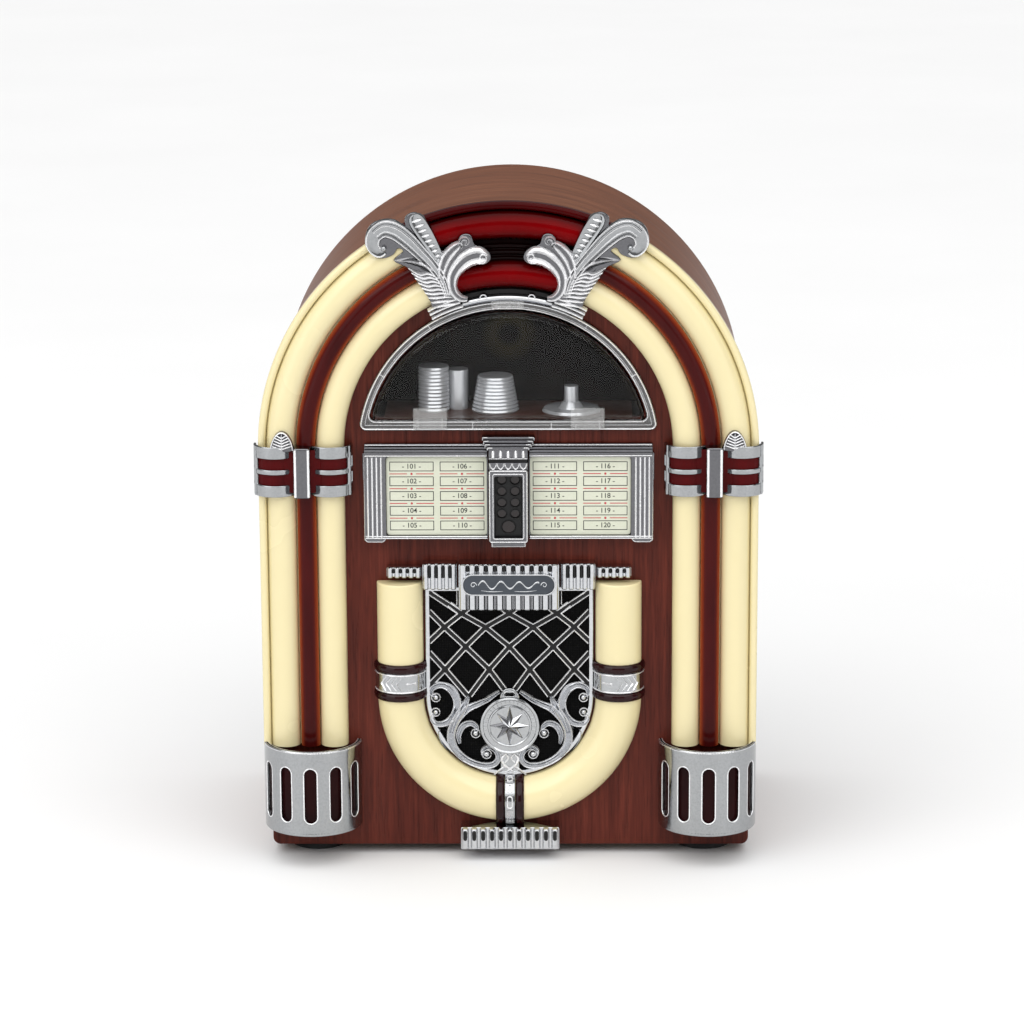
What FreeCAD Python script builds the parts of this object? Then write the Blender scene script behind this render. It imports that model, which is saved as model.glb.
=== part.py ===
"""Tabletop jukebox radio, a parametric FreeCAD document written out as one STEP file per sub-part.

Frame: +Z up, the front faces -Y, the origin lies on the table midway between the four feet. Millimetres.
The cabinet is an arch: straight sides up to arc_z, then a half circle. Everything on the front is placed
from the front panel's face, face_y, and stands proud of it towards -Y.
"""
import FreeCAD, Part
import math
import os
import re
import Sketcher

from FreeCAD import Placement, Rotation, Vector

doc = FreeCAD.newDocument("jukebox")

# ---------------------------------------------------------------- driving dimensions
DIMENSIONS = {
    # cabinet
    "arc_z": 223.5,            # height of the arch's centre above the table
    "cab_radius": 127.5,       # outer radius of the arch, and half the cabinet's width
    "face_y": -69.0,           # front face of the front panel
    "back_y": 75.0,            # rear edge of the cabinet shell
    "wall": 6.0,               # thickness of the bent shell and of the front panel
    "foot_tall": 5.0,
    "foot_radius": 15.5,
    "foot_x": 104.0,
    "foot_inset": 21.0,        # foot centre in from the front face or from the rear edge
    "base_thick": 8.0,
    "ledge": 8.0,              # width of the ledge that the rear panel is screwed to
    "ledge_deep": 10.0,
    "rear_thick": 4.0,
    "rear_inset": 2.0,
    "corner_round": 4.0,
    "lamp_hole": 3.3,
    # lit arch: cream diffusers, red rods, red crown
    "trim_outer": 131.0,
    "trim_inner": 86.0,
    "flange_thick": 2.0,
    "bead_mid": 129.0,
    "bead_round": 2.0,
    "bead_tall": 4.0,
    "outer_lobe_mid": 119.1,
    "outer_lobe_round": 7.7,
    "inner_lobe_mid": 93.4,
    "inner_lobe_round": 7.3,
    "rod_mid": 105.9,
    "rod_round": 5.0,
    "lit_angle": 64.0,         # a diffuser's sweep, from level with arc_z to its scroll
    "crown_gap": 0.4,          # degrees left free at each end of the crown
    # ferrules and shoes round the columns
    "ferrule_low": 200.0,
    "ferrule_tall": 26.8,
    "ferrule_proud": 14.6,
    "ferrule_wall": 1.3,
    "ferrule_inner_mid": 93.2,
    "ferrule_outer_mid": 121.8,
    "ferrule_round": 10.4,
    "bar_wide": 8.4,
    "shoe_mid": 105.2,
    "shoe_radius": 26.0,
    "shoe_low": 18.0,
    "shoe_top": 64.6,
    "shoe_wall": 1.6,
    "shoe_slot": 8.4,
    # window and the display behind it
    "window_radius": 79.0,
    "window_low": 233.5,
    "bubble_radius": 73.4,
    "bubble_low": 239.4,
    "bubble_proud": 8.5,
    "rim_proud": 4.0,
    "pane_wall": 1.5,
    "tray_deep": 46.0,
    "rail_inner": 79.3,        # chrome rail over the window, under the crown
    "rail_proud": 7.0,
    "rail_from": 66.0,         # degrees above level where the rail starts
    "floor_z": 239.5,          # floor of the display
    "record_out": 20.0,        # record stacks' axes behind the face
    "clip_wide": 18.0,
    # title holder and selector
    "titles_half": 76.4,
    "titles_low": 176.0,
    "titles_high": 226.6,
    "titles_proud": 8.0,
    "card_wide": 53.0,
    "card_tall": 42.0,
    "card_low": 178.0,
    "card_mid": 37.5,
    "selector_wide": 20.6,
    "selector_low": 173.0,
    "selector_high": 214.6,
    "selector_proud": 12.0,
    "lamp_round": 2.2,
    "big_lamp_round": 3.3,
    # speaker grille with its U-shaped tube
    "u_radius": 57.75,         # centre line of the tube
    "u_z": 89.1,               # centre of the U's half circle
    "tube_round": 12.2,
    "tube_top": 153.3,
    "grille_half": 44.6,
    "grille_top": 148.8,
    "band_low": 88.3,
    "band_high": 108.4,
    "ring_tall": 4.4,
    "ring_proud": 14.4,
    "medal_z": 73.0,
    "medal_radius": 16.0,
    "speaker_z": 96.0,
    "speaker_radius": 38.0,
    # controls on the right side
    "panel_y": 6.0,
    "panel_z": 112.0,
    "panel_tall": 112.0,
    "panel_wide": 66.0,
    "recess": 9.0,
    "tuning_z": 138.0,
    "tuning_radius": 20.0,
    "volume_z": 97.0,
    "volume_radius": 13.0,
    "switch_z": 71.0,
    "switch_apart": 28.0,
    "switch_travel": 4.0,
    "knob_tall": 12.5,
    "shaft_round": 3.0,
    # rear fittings
    "aerial_x": 78.0,
    "aerial_z": 150.0,
    "aerial_out": 15.4,        # aerial's axis out from the cabinet's rear edge
    "swivel_round": 7.0,
    "collar_round": 4.6,
    "mast_tall": 132.0,
    "mast_round": 3.5,
    "battery_wide": 110.0,
    "battery_low": 24.0,
    "battery_tall": 60.0,
    "battery_deep": 31.0,
    "door_gap": 0.5,
    "hinge_round": 2.2,
    "hinge_out": 3.8,          # hinge axis out from the rear panel's outer side
    "screw_round": 1.5,
    "screw_head": 3.4,
    "jack_x": -78.0,
    "jack_z": 40.0,
    "jack_round": 1.8,
    "jack_deep": 12.0,
}

sheet = doc.addObject("Spreadsheet::Sheet", "sizes")
for row, (alias, value) in enumerate(DIMENSIONS.items(), start=1):
    sheet.set(f"A{row}", alias)
    sheet.set(f"B{row}", str(value))
    sheet.setAlias(f"B{row}", alias)
doc.recompute()

WORD = re.compile(r"[a-z][a-z_]+")
NODES = {}                     # node name -> document object


def mm(alias):
    """A driving dimension's value, read from the spreadsheet."""
    return float(sheet.get(alias))


def formula(text):
    """An expression with each driving dimension's alias pointed at the spreadsheet."""
    return WORD.sub(lambda m: f"sizes.{m.group()}" if m.group() in DIMENSIONS else m.group(), str(text))


def mm_of(text):
    """The value of an expression in driving dimensions."""
    return float(sheet.evalExpression(formula(text)))


def bind(thing, **properties):
    for name, text in properties.items():
        thing.setExpression(name.replace("__", "."), formula(text))
    return thing


def place(thing, at, rotation=None):
    thing.Placement = Placement(Vector(0, 0, 0), rotation or Rotation())
    for axis, text in zip("xyz", at):
        thing.setExpression(f"Placement.Base.{axis}", formula(text))
    return thing


def node(name, thing):
    """Marks a finished object as the sub-part of that name."""
    thing.Label = name
    NODES[name] = thing
    return thing


# ---------------------------------------------------------------- primitives bound to the sheet
UPRIGHT = Rotation()
# a primitive's own Z becomes -Y, so it stands out of the face
INTO_FACE = Rotation(Vector(1, 0, 0), 90)
SIDEWAYS = Rotation(Vector(0, 1, 0), 90)        # a primitive's own Z becomes +X


def box(name, size, at, rotation=None):
    solid = doc.addObject("Part::Box", name)
    bind(solid, Length=size[0], Width=size[1], Height=size[2])
    return place(solid, at, rotation)


def cylinder(name, radius, tall, at, rotation=UPRIGHT, sweep=360):
    solid = doc.addObject("Part::Cylinder", name)
    bind(solid, Radius=radius, Height=tall, Angle=sweep)
    return place(solid, at, rotation)


def cone(name, low, high, tall, at, rotation=UPRIGHT):
    solid = doc.addObject("Part::Cone", name)
    bind(solid, Radius1=low, Radius2=high, Height=tall)
    return place(solid, at, rotation)


def sphere(name, radius, at):
    solid = doc.addObject("Part::Sphere", name)
    bind(solid, Radius=radius)
    return place(solid, at)


def torus(name, ring, section, at, rotation, sweep=360):
    solid = doc.addObject("Part::Torus", name)
    bind(solid, Radius1=ring, Radius2=section, Angle3=sweep)
    return place(solid, at, rotation)


def fuse(name, *parts):
    solid = doc.addObject("Part::MultiFuse", name)
    solid.Shapes = list(parts)
    solid.Refine = True
    return solid


def cut(name, base, *tools):
    solid = doc.addObject("Part::Cut", name)
    solid.Base = base
    solid.Tool = tools[0] if len(tools) == 1 else fuse(name + "_tools", *tools)
    return solid


def common(name, first, second):
    solid = doc.addObject("Part::Common", name)
    solid.Base = first
    solid.Tool = second
    return solid


def group(name, *parts):
    """Several separate solids kept as one node."""
    solid = doc.addObject("Part::Compound", name)
    solid.Links = list(parts)
    return solid


def mirrored(name, source):
    """The same piece on the other side of the cabinet."""
    solid = doc.addObject("Part::Mirroring", name)
    solid.Source = source
    solid.Normal = Vector(1, 0, 0)
    return solid


def shaped(name, shape):
    """A piece whose outline no primitive gives."""
    solid = doc.addObject("Part::Feature", name)
    solid.Shape = shape
    return solid


def behind_face(name):
    """Everything behind the front panel's face, to trim round pieces flat against it."""
    return box(name, ("600", "80", "600"), ("-300", "face_y", "-100"))


def turned(start):
    """Faces an arc out of the panel, its sweep starting at that angle above level."""
    return INTO_FACE * Rotation(Vector(0, 0, 1), start)


def rod_pair(name, mid, section, low, start, sweep, proud):
    """A round bar up the right-hand column and on round the arch, as one solid."""
    column = cylinder(name + "_up", section, f"arc_z - ({low})", (mid, f"face_y - ({proud})", low))
    bend = torus(name + "_bend", mid, section, ("0", f"face_y - ({proud})", "arc_z"), turned(start), sweep)
    return [column, bend]


def ring_plate(name, outer, inner, thick, start, sweep):
    """A flat arc on the panel's face, thick towards the front."""
    disc = cylinder(name + "_disc", outer, thick, ("0", "face_y", "arc_z"), turned(start), sweep)
    hole = cylinder(name + "_hole", inner, f"({thick}) + 2", ("0", "face_y + 1", "arc_z"), INTO_FACE)
    return cut(name, disc, hole)


def lunette(name, radius, low, front, deep):
    """A prism whose outline is the disc round the arch's centre above a level line."""
    disc = cylinder(name + "_disc", radius, deep, ("0", f"({front}) + ({deep})", "arc_z"), INTO_FACE)
    keep = box(name + "_keep", ("400", f"({deep}) + 2", "200"), ("-200", f"({front}) - 1", low))
    return common(name, disc, keep)


# ---------------------------------------------------------------- sketches
def new_body(name):
    return doc.addObject("PartDesign::Body", name)


def new_sketch(body, role, name, offset="0"):
    sketch = body.newObject("Sketcher::SketchObject", name)
    plane = [f for f in body.Origin.OriginFeatures if f.Role == role][0]
    sketch.AttachmentSupport = [(plane, "")]
    sketch.MapMode = "FlatFace"
    sketch.setExpression("AttachmentOffset.Base.z", formula(offset))
    return sketch


def sketch_arch(sketch, radius, low):
    """The cabinet's outline, its radius and heights held by named constraints."""
    r, low_z, mid_z = mm_of(radius), mm_of(low), mm("arc_z")
    corners = [Vector(-r, low_z, 0), Vector(r, low_z, 0), Vector(r, mid_z, 0), Vector(-r, mid_z, 0)]
    sketch.addGeometry(Part.LineSegment(corners[0], corners[1]))
    sketch.addGeometry(Part.LineSegment(corners[1], corners[2]))
    sketch.addGeometry(Part.ArcOfCircle(Part.Circle(Vector(0, mid_z, 0), Vector(0, 0, 1), r), 0, math.pi))
    sketch.addGeometry(Part.LineSegment(corners[3], corners[0]))
    add = sketch.addConstraint
    for kind, first, second in (("Coincident", 0, 1), ("Tangent", 1, 2), ("Tangent", 2, 3),
                                ("Coincident", 3, 0)):
        add(Sketcher.Constraint(kind, first, 2, second, 1))
    add(Sketcher.Constraint("Horizontal", 0))
    add(Sketcher.Constraint("Vertical", 1))
    add(Sketcher.Constraint("Vertical", 3))
    add(Sketcher.Constraint("PointOnObject", 2, 3, -2))
    for name, constraint, text in (
        ("radius", Sketcher.Constraint("Radius", 2, r), radius),
        ("middle", Sketcher.Constraint("DistanceY", -1, 1, 2, 3, mid_z), "arc_z"),
        ("low", Sketcher.Constraint("DistanceY", -1, 1, 0, 1, low_z), low),
    ):
        index = add(constraint)
        sketch.renameConstraint(index, name)
        sketch.setExpression(f"Constraints.{name}", formula(text))
    return sketch


def sketch_circle(sketch, name, radius, x, z):
    """A circle whose radius and centre are held by named constraints."""
    values = [mm_of(t) for t in (radius, x, z)]
    geo = sketch.addGeometry(Part.Circle(Vector(values[1], values[2], 0), Vector(0, 0, 1), values[0]))
    texts = [(name + "_round", Sketcher.Constraint("Radius", geo, values[0]), radius)]
    for kind, axis, value, text in (("DistanceX", -2, values[1], x), ("DistanceY", -1, values[2], z)):
        if value:
            texts.append((f"{name}_{kind}", Sketcher.Constraint(kind, -1, 1, geo, 3, value), text))
        else:
            sketch.addConstraint(Sketcher.Constraint("PointOnObject", geo, 3, axis))
    for label, constraint, text in texts:
        index = sketch.addConstraint(constraint)
        sketch.renameConstraint(index, label)
        sketch.setExpression(f"Constraints.{label}", formula(text))


def sketch_rectangle(sketch, name, x, z, wide, tall):
    """A rectangle given by its lower left corner and its sides, held by named constraints."""
    left, low, w, t = [mm_of(text) for text in (x, z, wide, tall)]
    corners = [Vector(left, low, 0), Vector(left + w, low, 0), Vector(left + w, low + t, 0),
               Vector(left, low + t, 0)]
    lines = [sketch.addGeometry(Part.LineSegment(corners[i], corners[(i + 1) % 4])) for i in range(4)]
    for i in range(4):
        sketch.addConstraint(Sketcher.Constraint("Coincident", lines[i], 2, lines[(i + 1) % 4], 1))
        sketch.addConstraint(Sketcher.Constraint("Horizontal" if i % 2 == 0 else "Vertical", lines[i]))
    for label, constraint, text in (
        (name + "_x", Sketcher.Constraint("DistanceX", -1, 1, lines[0], 1, left), x),
        (name + "_z", Sketcher.Constraint("DistanceY", -1, 1, lines[0], 1, low), z),
        (name + "_wide", Sketcher.Constraint("DistanceX", lines[0], 1, lines[0], 2, w), wide),
        (name + "_tall", Sketcher.Constraint("DistanceY", lines[1], 1, lines[1], 2, t), tall),
    ):
        index = sketch.addConstraint(constraint)
        sketch.renameConstraint(index, label)
        sketch.setExpression(f"Constraints.{label}", formula(text))


def pad(body, sketch, length):
    """Pads a sketch along its normal."""
    feature = body.newObject("PartDesign::Pad", body.Name + "_pad")
    feature.Profile = sketch
    feature.setExpression("Length", formula(length))
    doc.recompute()
    return feature


def pocket(body, sketch, length):
    """Cuts a sketch out of the body, against the sketch's normal, and makes sure that something went."""
    before = body.Shape.Volume
    feature = body.newObject("PartDesign::Pocket", body.Name + "_pocket")
    feature.Profile = sketch
    feature.setExpression("Length", formula(length))
    doc.recompute()
    if body.Shape.Volume > before - 1e-3:
        raise RuntimeError(f"{feature.Name} cut nothing")
    return feature


def round_edges(body, radius, wanted):
    """Fillets the body's straight edges whose middle point passes the test."""
    base = body.Tip
    names = []
    for index, edge in enumerate(base.Shape.Edges, start=1):
        if edge.Curve.TypeId == "Part::GeomLine" and wanted(edge.CenterOfMass):
            names.append(f"Edge{index}")
    feature = body.newObject("PartDesign::Fillet", body.Name + "_fillet")
    feature.Base = (base, names)
    feature.setExpression("Radius", formula(radius))
    doc.recompute()
    return feature


# ---------------------------------------------------------------- cabinet
WALL_IN = "cab_radius - wall"
PANEL_IN = "face_y + wall"               # inner side of the front panel
REAR_OUT = "back_y - rear_inset"         # outer side of the rear panel
REAR_IN = f"{REAR_OUT} - rear_thick"
PANEL_HOLE_WIDE = "panel_wide - 8"
PANEL_HOLE_TALL = "panel_tall - 8"


def low_corners(point):
    """True on the cabinet's two lower edges that run front to back."""
    return abs(point.z - mm("foot_tall")) < 0.01 and abs(abs(point.x) - mm("cab_radius")) < 0.01


def make_cabinet_shell():
    """Bent plywood: two sides and an arch in one, a ledge for the rear panel, a hole for the controls."""
    body = new_body("cabinet_shell")
    outline = sketch_arch(new_sketch(body, "XZ_Plane", "shell_outline", "-back_y"), "cab_radius",
                          "foot_tall")
    pad(body, outline, f"back_y - ({PANEL_IN})")
    cuts = (
        ("shell_inside", f"{WALL_IN} - ledge", PANEL_IN, "400"),
        ("rear_rebate", WALL_IN, REAR_IN, "rear_thick + rear_inset"),
        ("shell_room", WALL_IN, PANEL_IN, f"{REAR_IN} - ledge_deep - ({PANEL_IN})"),
    )
    for name, radius, at, deep in cuts:
        sketch = new_sketch(body, "XZ_Plane", name, f"-({at})")
        pocket(body, sketch_arch(sketch, radius, "foot_tall - 10"), deep)
    seat = new_sketch(body, "XY_Plane", "base_seat", "foot_tall + base_thick")
    sketch_rectangle(seat, "seat", f"-({WALL_IN})", PANEL_IN, f"2*({WALL_IN})", f"back_y - ({PANEL_IN})")
    pocket(body, seat, "base_thick")
    side = new_sketch(body, "YZ_Plane", "control_hole", "cab_radius + 1")
    sketch_rectangle(side, "hole", f"panel_y - ({PANEL_HOLE_WIDE})/2", f"panel_z - ({PANEL_HOLE_TALL})/2",
                     PANEL_HOLE_WIDE, PANEL_HOLE_TALL)
    pocket(body, side, "wall + 2")
    round_edges(body, "corner_round", low_corners)
    return node("cabinet_shell", body)



def sketch_lunette(sketch, radius, low):
    """The part of a disc round the arch's centre that lies above a level line."""
    r, low_z, mid_z = mm_of(radius), mm_of(low), mm("arc_z")
    start = math.asin((low_z - mid_z) / r)
    centre = Vector(0, mid_z, 0)
    arc = Part.ArcOfCircle(Part.Circle(centre, Vector(0, 0, 1), r), start, math.pi - start)
    sketch.addGeometry(arc)
    sketch.addGeometry(Part.LineSegment(arc.EndPoint, arc.StartPoint))
    sketch.addConstraint(Sketcher.Constraint("Coincident", 0, 2, 1, 1))
    sketch.addConstraint(Sketcher.Constraint("Coincident", 1, 2, 0, 1))
    sketch.addConstraint(Sketcher.Constraint("Horizontal", 1))
    sketch.addConstraint(Sketcher.Constraint("PointOnObject", 0, 3, -2))
    for name, constraint, text in (
        ("radius", Sketcher.Constraint("Radius", 0, r), radius),
        ("middle", Sketcher.Constraint("DistanceY", -1, 1, 0, 3, mid_z), "arc_z"),
        ("low", Sketcher.Constraint("DistanceY", -1, 1, 0, 1, low_z), low),
    ):
        index = sketch.addConstraint(constraint)
        sketch.renameConstraint(index, name)
        sketch.setExpression(f"Constraints.{name}", formula(text))
    return sketch


LAMP_RADIUS = "rod_mid"
COLUMN_LAMP_HEIGHTS = (98.0, 168.0)
ARCH_LAMP_ANGLES = (22.0, 48.0, 78.0)
SCREW_ANGLES = (0, 45, 90, 135, 180)


def lamp_places():
    """Where the lamps stand behind the lit columns and arch: pairs of expressions for x and z."""
    right = [(LAMP_RADIUS, str(height)) for height in COLUMN_LAMP_HEIGHTS]
    for angle in ARCH_LAMP_ANGLES:
        right.append((f"{LAMP_RADIUS}*cos({angle})", f"arc_z + {LAMP_RADIUS}*sin({angle})"))
    return right + [(f"-({x})", z) for x, z in right]


def make_front_panel():
    """Veneered board over the shell's front edge, with holes for display, selector, speaker and lamps."""
    body = new_body("front_panel")
    outline = sketch_arch(new_sketch(body, "XZ_Plane", "front_outline", f"-({PANEL_IN})"), "cab_radius",
                          "foot_tall")
    pad(body, outline, "wall")
    display = new_sketch(body, "XZ_Plane", "display_hole", "-face_y")
    pocket(body, sketch_lunette(display, "bubble_radius - 0.2", "floor_z - 2.7"), "wall")
    openings = new_sketch(body, "XZ_Plane", "speaker_hole", "-face_y")
    sketch_circle(openings, "speaker", "speaker_radius", "0", "speaker_z")
    sketch_rectangle(openings, "selector", "-8", "177.5", "16", "34")
    for index, (x, z) in enumerate(lamp_places()):
        sketch_circle(openings, f"lamp{index}", "lamp_hole", x, z)
    pocket(body, openings, "wall")
    round_edges(body, "corner_round", low_corners)
    return node("front_panel", body)


def make_base_board():
    body = new_body("base_board")
    sketch = new_sketch(body, "XY_Plane", "base_outline", "foot_tall")
    sketch_rectangle(sketch, "base", f"-({WALL_IN})", PANEL_IN, f"2*({WALL_IN})", f"back_y - ({PANEL_IN})")
    pad(body, sketch, "base_thick")
    return node("base_board", body)


def make_rubber_feet():
    feet = []
    for x in ("foot_x", "-foot_x"):
        for y in ("face_y + foot_inset", "back_y - foot_inset"):
            feet.append(cone("foot", "foot_radius - 1.5", "foot_radius", "foot_tall", (x, y, "0")))
    return node("rubber_feet", group("rubber_feet", *feet))


def screw_places():
    """Where the rear panel is screwed to its ledge: pairs of expressions for x and z."""
    ring = f"({WALL_IN} - ledge/2)"
    places = [(f"{ring}*cos({angle})", f"arc_z + {ring}*sin({angle})") for angle in SCREW_ANGLES]
    for x in ("1", "-1"):
        places.append((f"{x}*{ring}", "120"))
        places.append((f"{x}*{ring}", "32"))
    return places


DOOR_TOP = "battery_low + battery_tall"
HINGE_Z = f"{DOOR_TOP} + 2"
HINGE_Y = f"{REAR_OUT} + hinge_out"
HINGE_HALF = "40"
VENT_ROWS = 8


def make_rear_panel():
    """Flat board in the rear rebate: vents, battery opening, socket hole, screws, knuckles for the door."""
    body = new_body("rear_board")
    outline = new_sketch(body, "XZ_Plane", "rear_outline", f"-({REAR_OUT})")
    pad(body, sketch_arch(outline, f"{WALL_IN} - 0.4", "foot_tall + base_thick + 0.4"), "rear_thick")
    holes = new_sketch(body, "XZ_Plane", "rear_holes", f"-({REAR_IN})")
    sketch_rectangle(holes, "battery", "-battery_wide/2", "battery_low", "battery_wide", "battery_tall")
    sketch_circle(holes, "jack", "jack_round + 2.2", "jack_x", "jack_z")
    sketch_circle(holes, "aerial", "3.0", "aerial_x", "aerial_z")
    for index, (x, z) in enumerate(screw_places()):
        sketch_circle(holes, f"screw{index}", "screw_round", x, z)
    pocket(body, holes, "rear_thick")
    vents = new_sketch(body, "XZ_Plane", "vent_slots", f"-({REAR_IN})")
    for row in range(VENT_ROWS):
        for side, left in (("left", "-50"), ("right", "8")):
            sketch_rectangle(vents, f"{side}{row}", left, f"172 + {9 * row}", "42", "3.2")
    pocket(body, vents, "rear_thick")
    parts = [body]
    for x in (f"-({HINGE_HALF}) - 8.3", f"{HINGE_HALF} + 0.3"):
        parts.append(cylinder("knuckle", "hinge_round", "8", (x, HINGE_Y, HINGE_Z), SIDEWAYS))
        parts.append(box("knuckle_foot", ("8", "hinge_out + 0.5", "3"),
                         (x, f"{REAR_OUT} - 0.5", f"{HINGE_Z} - 0.8")))
    pins = [cylinder("pin_hole", "1.05", "8.4", (x, HINGE_Y, HINGE_Z), SIDEWAYS)
            for x in (f"-({HINGE_HALF}) - 8.5", f"{HINGE_HALF} + 0.1")]
    return node("rear_panel", cut("rear_panel", fuse("rear_with_knuckles", *parts), *pins))


def make_rear_screws():
    screws = []
    for x, z in screw_places():
        head = sphere("screw_dome", "screw_head", (x, f"{REAR_OUT} - 2.4", z))
        keep = box("screw_keep", ("10", "3", "10"), (f"{x} - 5", REAR_OUT, f"{z} - 5"))
        slot = box("screw_slot", ("0.9", "2", "5"), (f"{x} - 0.45", f"{REAR_OUT} + 0.4", f"{z} - 2.5"))
        shank = cylinder("screw_shank", "screw_round", "rear_thick", (x, REAR_OUT, z), INTO_FACE)
        screws.append(fuse("screw", cut("screw_top", common("screw_cap", head, keep), slot), shank))
    return node("rear_screws", group("rear_screws", *screws))


# ---------------------------------------------------------------- lit columns, arch and crown
COLUMN_LOW = "shoe_top - 2.1"            # the columns stand on the shoes' recessed tops


def straight_bar(name, inner, outer, low, thick):
    """A flat strip up the right-hand column, on the panel's face."""
    size = (f"{outer} - ({inner})", thick, f"arc_z - ({low})")
    return box(name, size, (inner, f"face_y - ({thick})", low))


def trim_off(name, parts):
    """Fuses pieces and takes off what reaches behind the panel's face."""
    return cut(name, fuse(name + "_whole", *parts), behind_face(name + "_behind"))


def make_column_diffuser():
    """Cream moulding of the right-hand side: flange, edge bead and two lobes, up and round the arch."""
    parts = [
        straight_bar("flange_up", "trim_inner", "trim_outer", COLUMN_LOW, "flange_thick"),
        ring_plate("flange_bend", "trim_outer", "trim_inner", "flange_thick", 0, "lit_angle"),
        straight_bar("bead_up", "bead_mid - bead_round", "trim_outer", COLUMN_LOW, "bead_tall"),
        ring_plate("bead_bend", "trim_outer", "bead_mid - bead_round", "bead_tall", 0, "lit_angle"),
    ]
    parts += rod_pair("bead_top", "bead_mid", "bead_round", COLUMN_LOW, 0, "lit_angle", "bead_tall")
    parts += rod_pair("outer_lobe", "outer_lobe_mid", "outer_lobe_round", COLUMN_LOW, 0, "lit_angle", "1.3")
    parts += rod_pair("inner_lobe", "inner_lobe_mid", "inner_lobe_round", COLUMN_LOW, 0, "lit_angle", "1.7")
    right = node("column_diffuser_right", trim_off("column_diffuser_right", parts))
    node("column_diffuser_left", mirrored("column_diffuser_left", right))


def make_column_rods():
    """Red rods between the lobes, flat behind where they lie on the flange."""
    rods = rod_pair("rod", "rod_mid", "rod_round - 0.15", COLUMN_LOW, 0, "lit_angle", "3.9")
    channel = box("rod_bed", ("600", "80", "600"), ("-300", "face_y - flange_thick", "-100"))
    right = cut("rod_right", fuse("rod_whole", *rods), channel)
    node("column_rods", group("column_rods", right, mirrored("rod_left", right)))


CROWN_RIBS = (100.9, 104.3, 107.7)


def make_crown_lens():
    """Red moulding over the top, with the arch's own section and a ribbed channel in place of the rod."""
    start = mm("lit_angle") + mm("crown_gap")
    sweep = "180 - 2*(lit_angle + crown_gap)"
    parts = [
        ring_plate("crown_flange", "trim_outer", "trim_inner", "flange_thick", start, sweep),
        ring_plate("crown_bead", "trim_outer", "bead_mid - bead_round", "bead_tall", start, sweep),
    ]
    at_arc = "arc_z"
    rounds = [("bead_mid", "bead_round", "bead_tall"), ("outer_lobe_mid", "outer_lobe_round", "1.3"),
              ("inner_lobe_mid", "inner_lobe_round", "1.7")]
    rounds += [(str(radius), "1.2", "2.2") for radius in CROWN_RIBS]
    for mid, section, proud in rounds:
        parts.append(torus("crown_round", mid, section, ("0", f"face_y - {proud}", at_arc), turned(start),
                           sweep))
    return node("crown_lens", trim_off("crown_lens", parts))


def make_crown_rail():
    """Chrome rail that follows the window's top between the two scrolls, with two small notches."""
    sweep = "180 - 2*rail_from"
    start = mm("rail_from")
    rail = ring_plate("rail_front", "rail_inner + 3.2", "rail_inner", "rail_proud", start, sweep)
    bed = ring_plate("rail_bed", "trim_inner - 0.4", "rail_inner", "3.5", start, sweep)
    notches = [cylinder("notch", "1.2", "20", (x, "face_y - 4", "arc_z + rail_inner + 2.4"), INTO_FACE)
               for x in ("12.5", "-12.5")]
    return node("crown_rail", cut("crown_rail", fuse("rail_whole", rail, bed), *notches))


def in_face_plane(angle):
    """A box's own X turned by that angle above level, within the plane of the front."""
    return Rotation(Vector(0, 1, 0), -angle)


def make_scroll_ornament():
    """Cast plume on the right of the crown: curled stem, beaded comb, bird scroll and a foot on the rail."""
    proud = "face_y - 11.6"
    parts = [
        torus("plume_curl", "5.2", "2.1", ("65.5", proud, "335.5"), INTO_FACE),
        cylinder("plume_curl_back", "5.4", "3", ("65.5", "face_y - 9.6", "335.5"), INTO_FACE),
        torus("plume_stem", "36", "2.6", ("71.5", proud, "308.2"), turned(98), "74"),
        box("plume_web", ("31", "3.6", "8.6"), ("39.5", "face_y - 13.2", "303.5"), in_face_plane(67)),
        box("plume_comb", ("31", "4", "6.6"), ("36", "face_y - 13.6", "320"), in_face_plane(62)),
        torus("bird_neck", "15.6", "3.0", ("18.6", proud, "314.5"), turned(-40), "128"),
        sphere("bird_crest", "4.0", ("21.5", proud, "334.2")),
        sphere("bird_beak", "4.4", ("12.2", proud, "328.6")),
        box("bird_head", ("12", "4.4", "6"), ("11.5", "face_y - 13.4", "327"), in_face_plane(14)),
        cone("leaf_spike", "3.4", "0.6", "11", ("48.5", proud, "325"),
             Rotation(Vector(0, 1, 0), 84)),
        box("plume_root", ("11", "4.4", "13"), ("31.5", "face_y - 13.8", "300.5"), in_face_plane(-24)),
        box("plume_foot", ("18.5", "13.4", "5"), ("24.6", "face_y - 13.4", "303.9"), in_face_plane(-25.5)),
    ]
    behind = box("plume_clear", ("200", "80", "60"), ("0", "face_y - 9.4", "308.5"))
    casting = cut("plume_casting", fuse("plume_whole", *parts), behind, behind_face("plume_behind"),
                  lunette_disc("plume_over_window", "rail_inner"),
                  outside_disc("plume_under_crown", "trim_inner - 0.3", "9.4"),
                  ring_plate("plume_over_rail", "trim_inner", "rail_inner - 0.2", "rail_proud + 0.1", 55,
                             "70"))
    right = node("scroll_ornament_right", casting)
    node("scroll_ornament_left", mirrored("scroll_ornament_left", right))


def lunette_disc(name, radius):
    """A disc round the arch's centre, thicker than anything on the front."""
    return cylinder(name, radius, "60", ("0", "face_y + 20", "arc_z"), INTO_FACE)


def outside_disc(name, radius, proud):
    """Everything round a disc, from behind the face out to that much proud of it."""
    wide = cylinder(name + "_wide", "400", f"20 + {proud}", ("0", "face_y + 20", "arc_z"), INTO_FACE)
    return cut(name, wide, lunette_disc(name + "_disc", radius))


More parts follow.
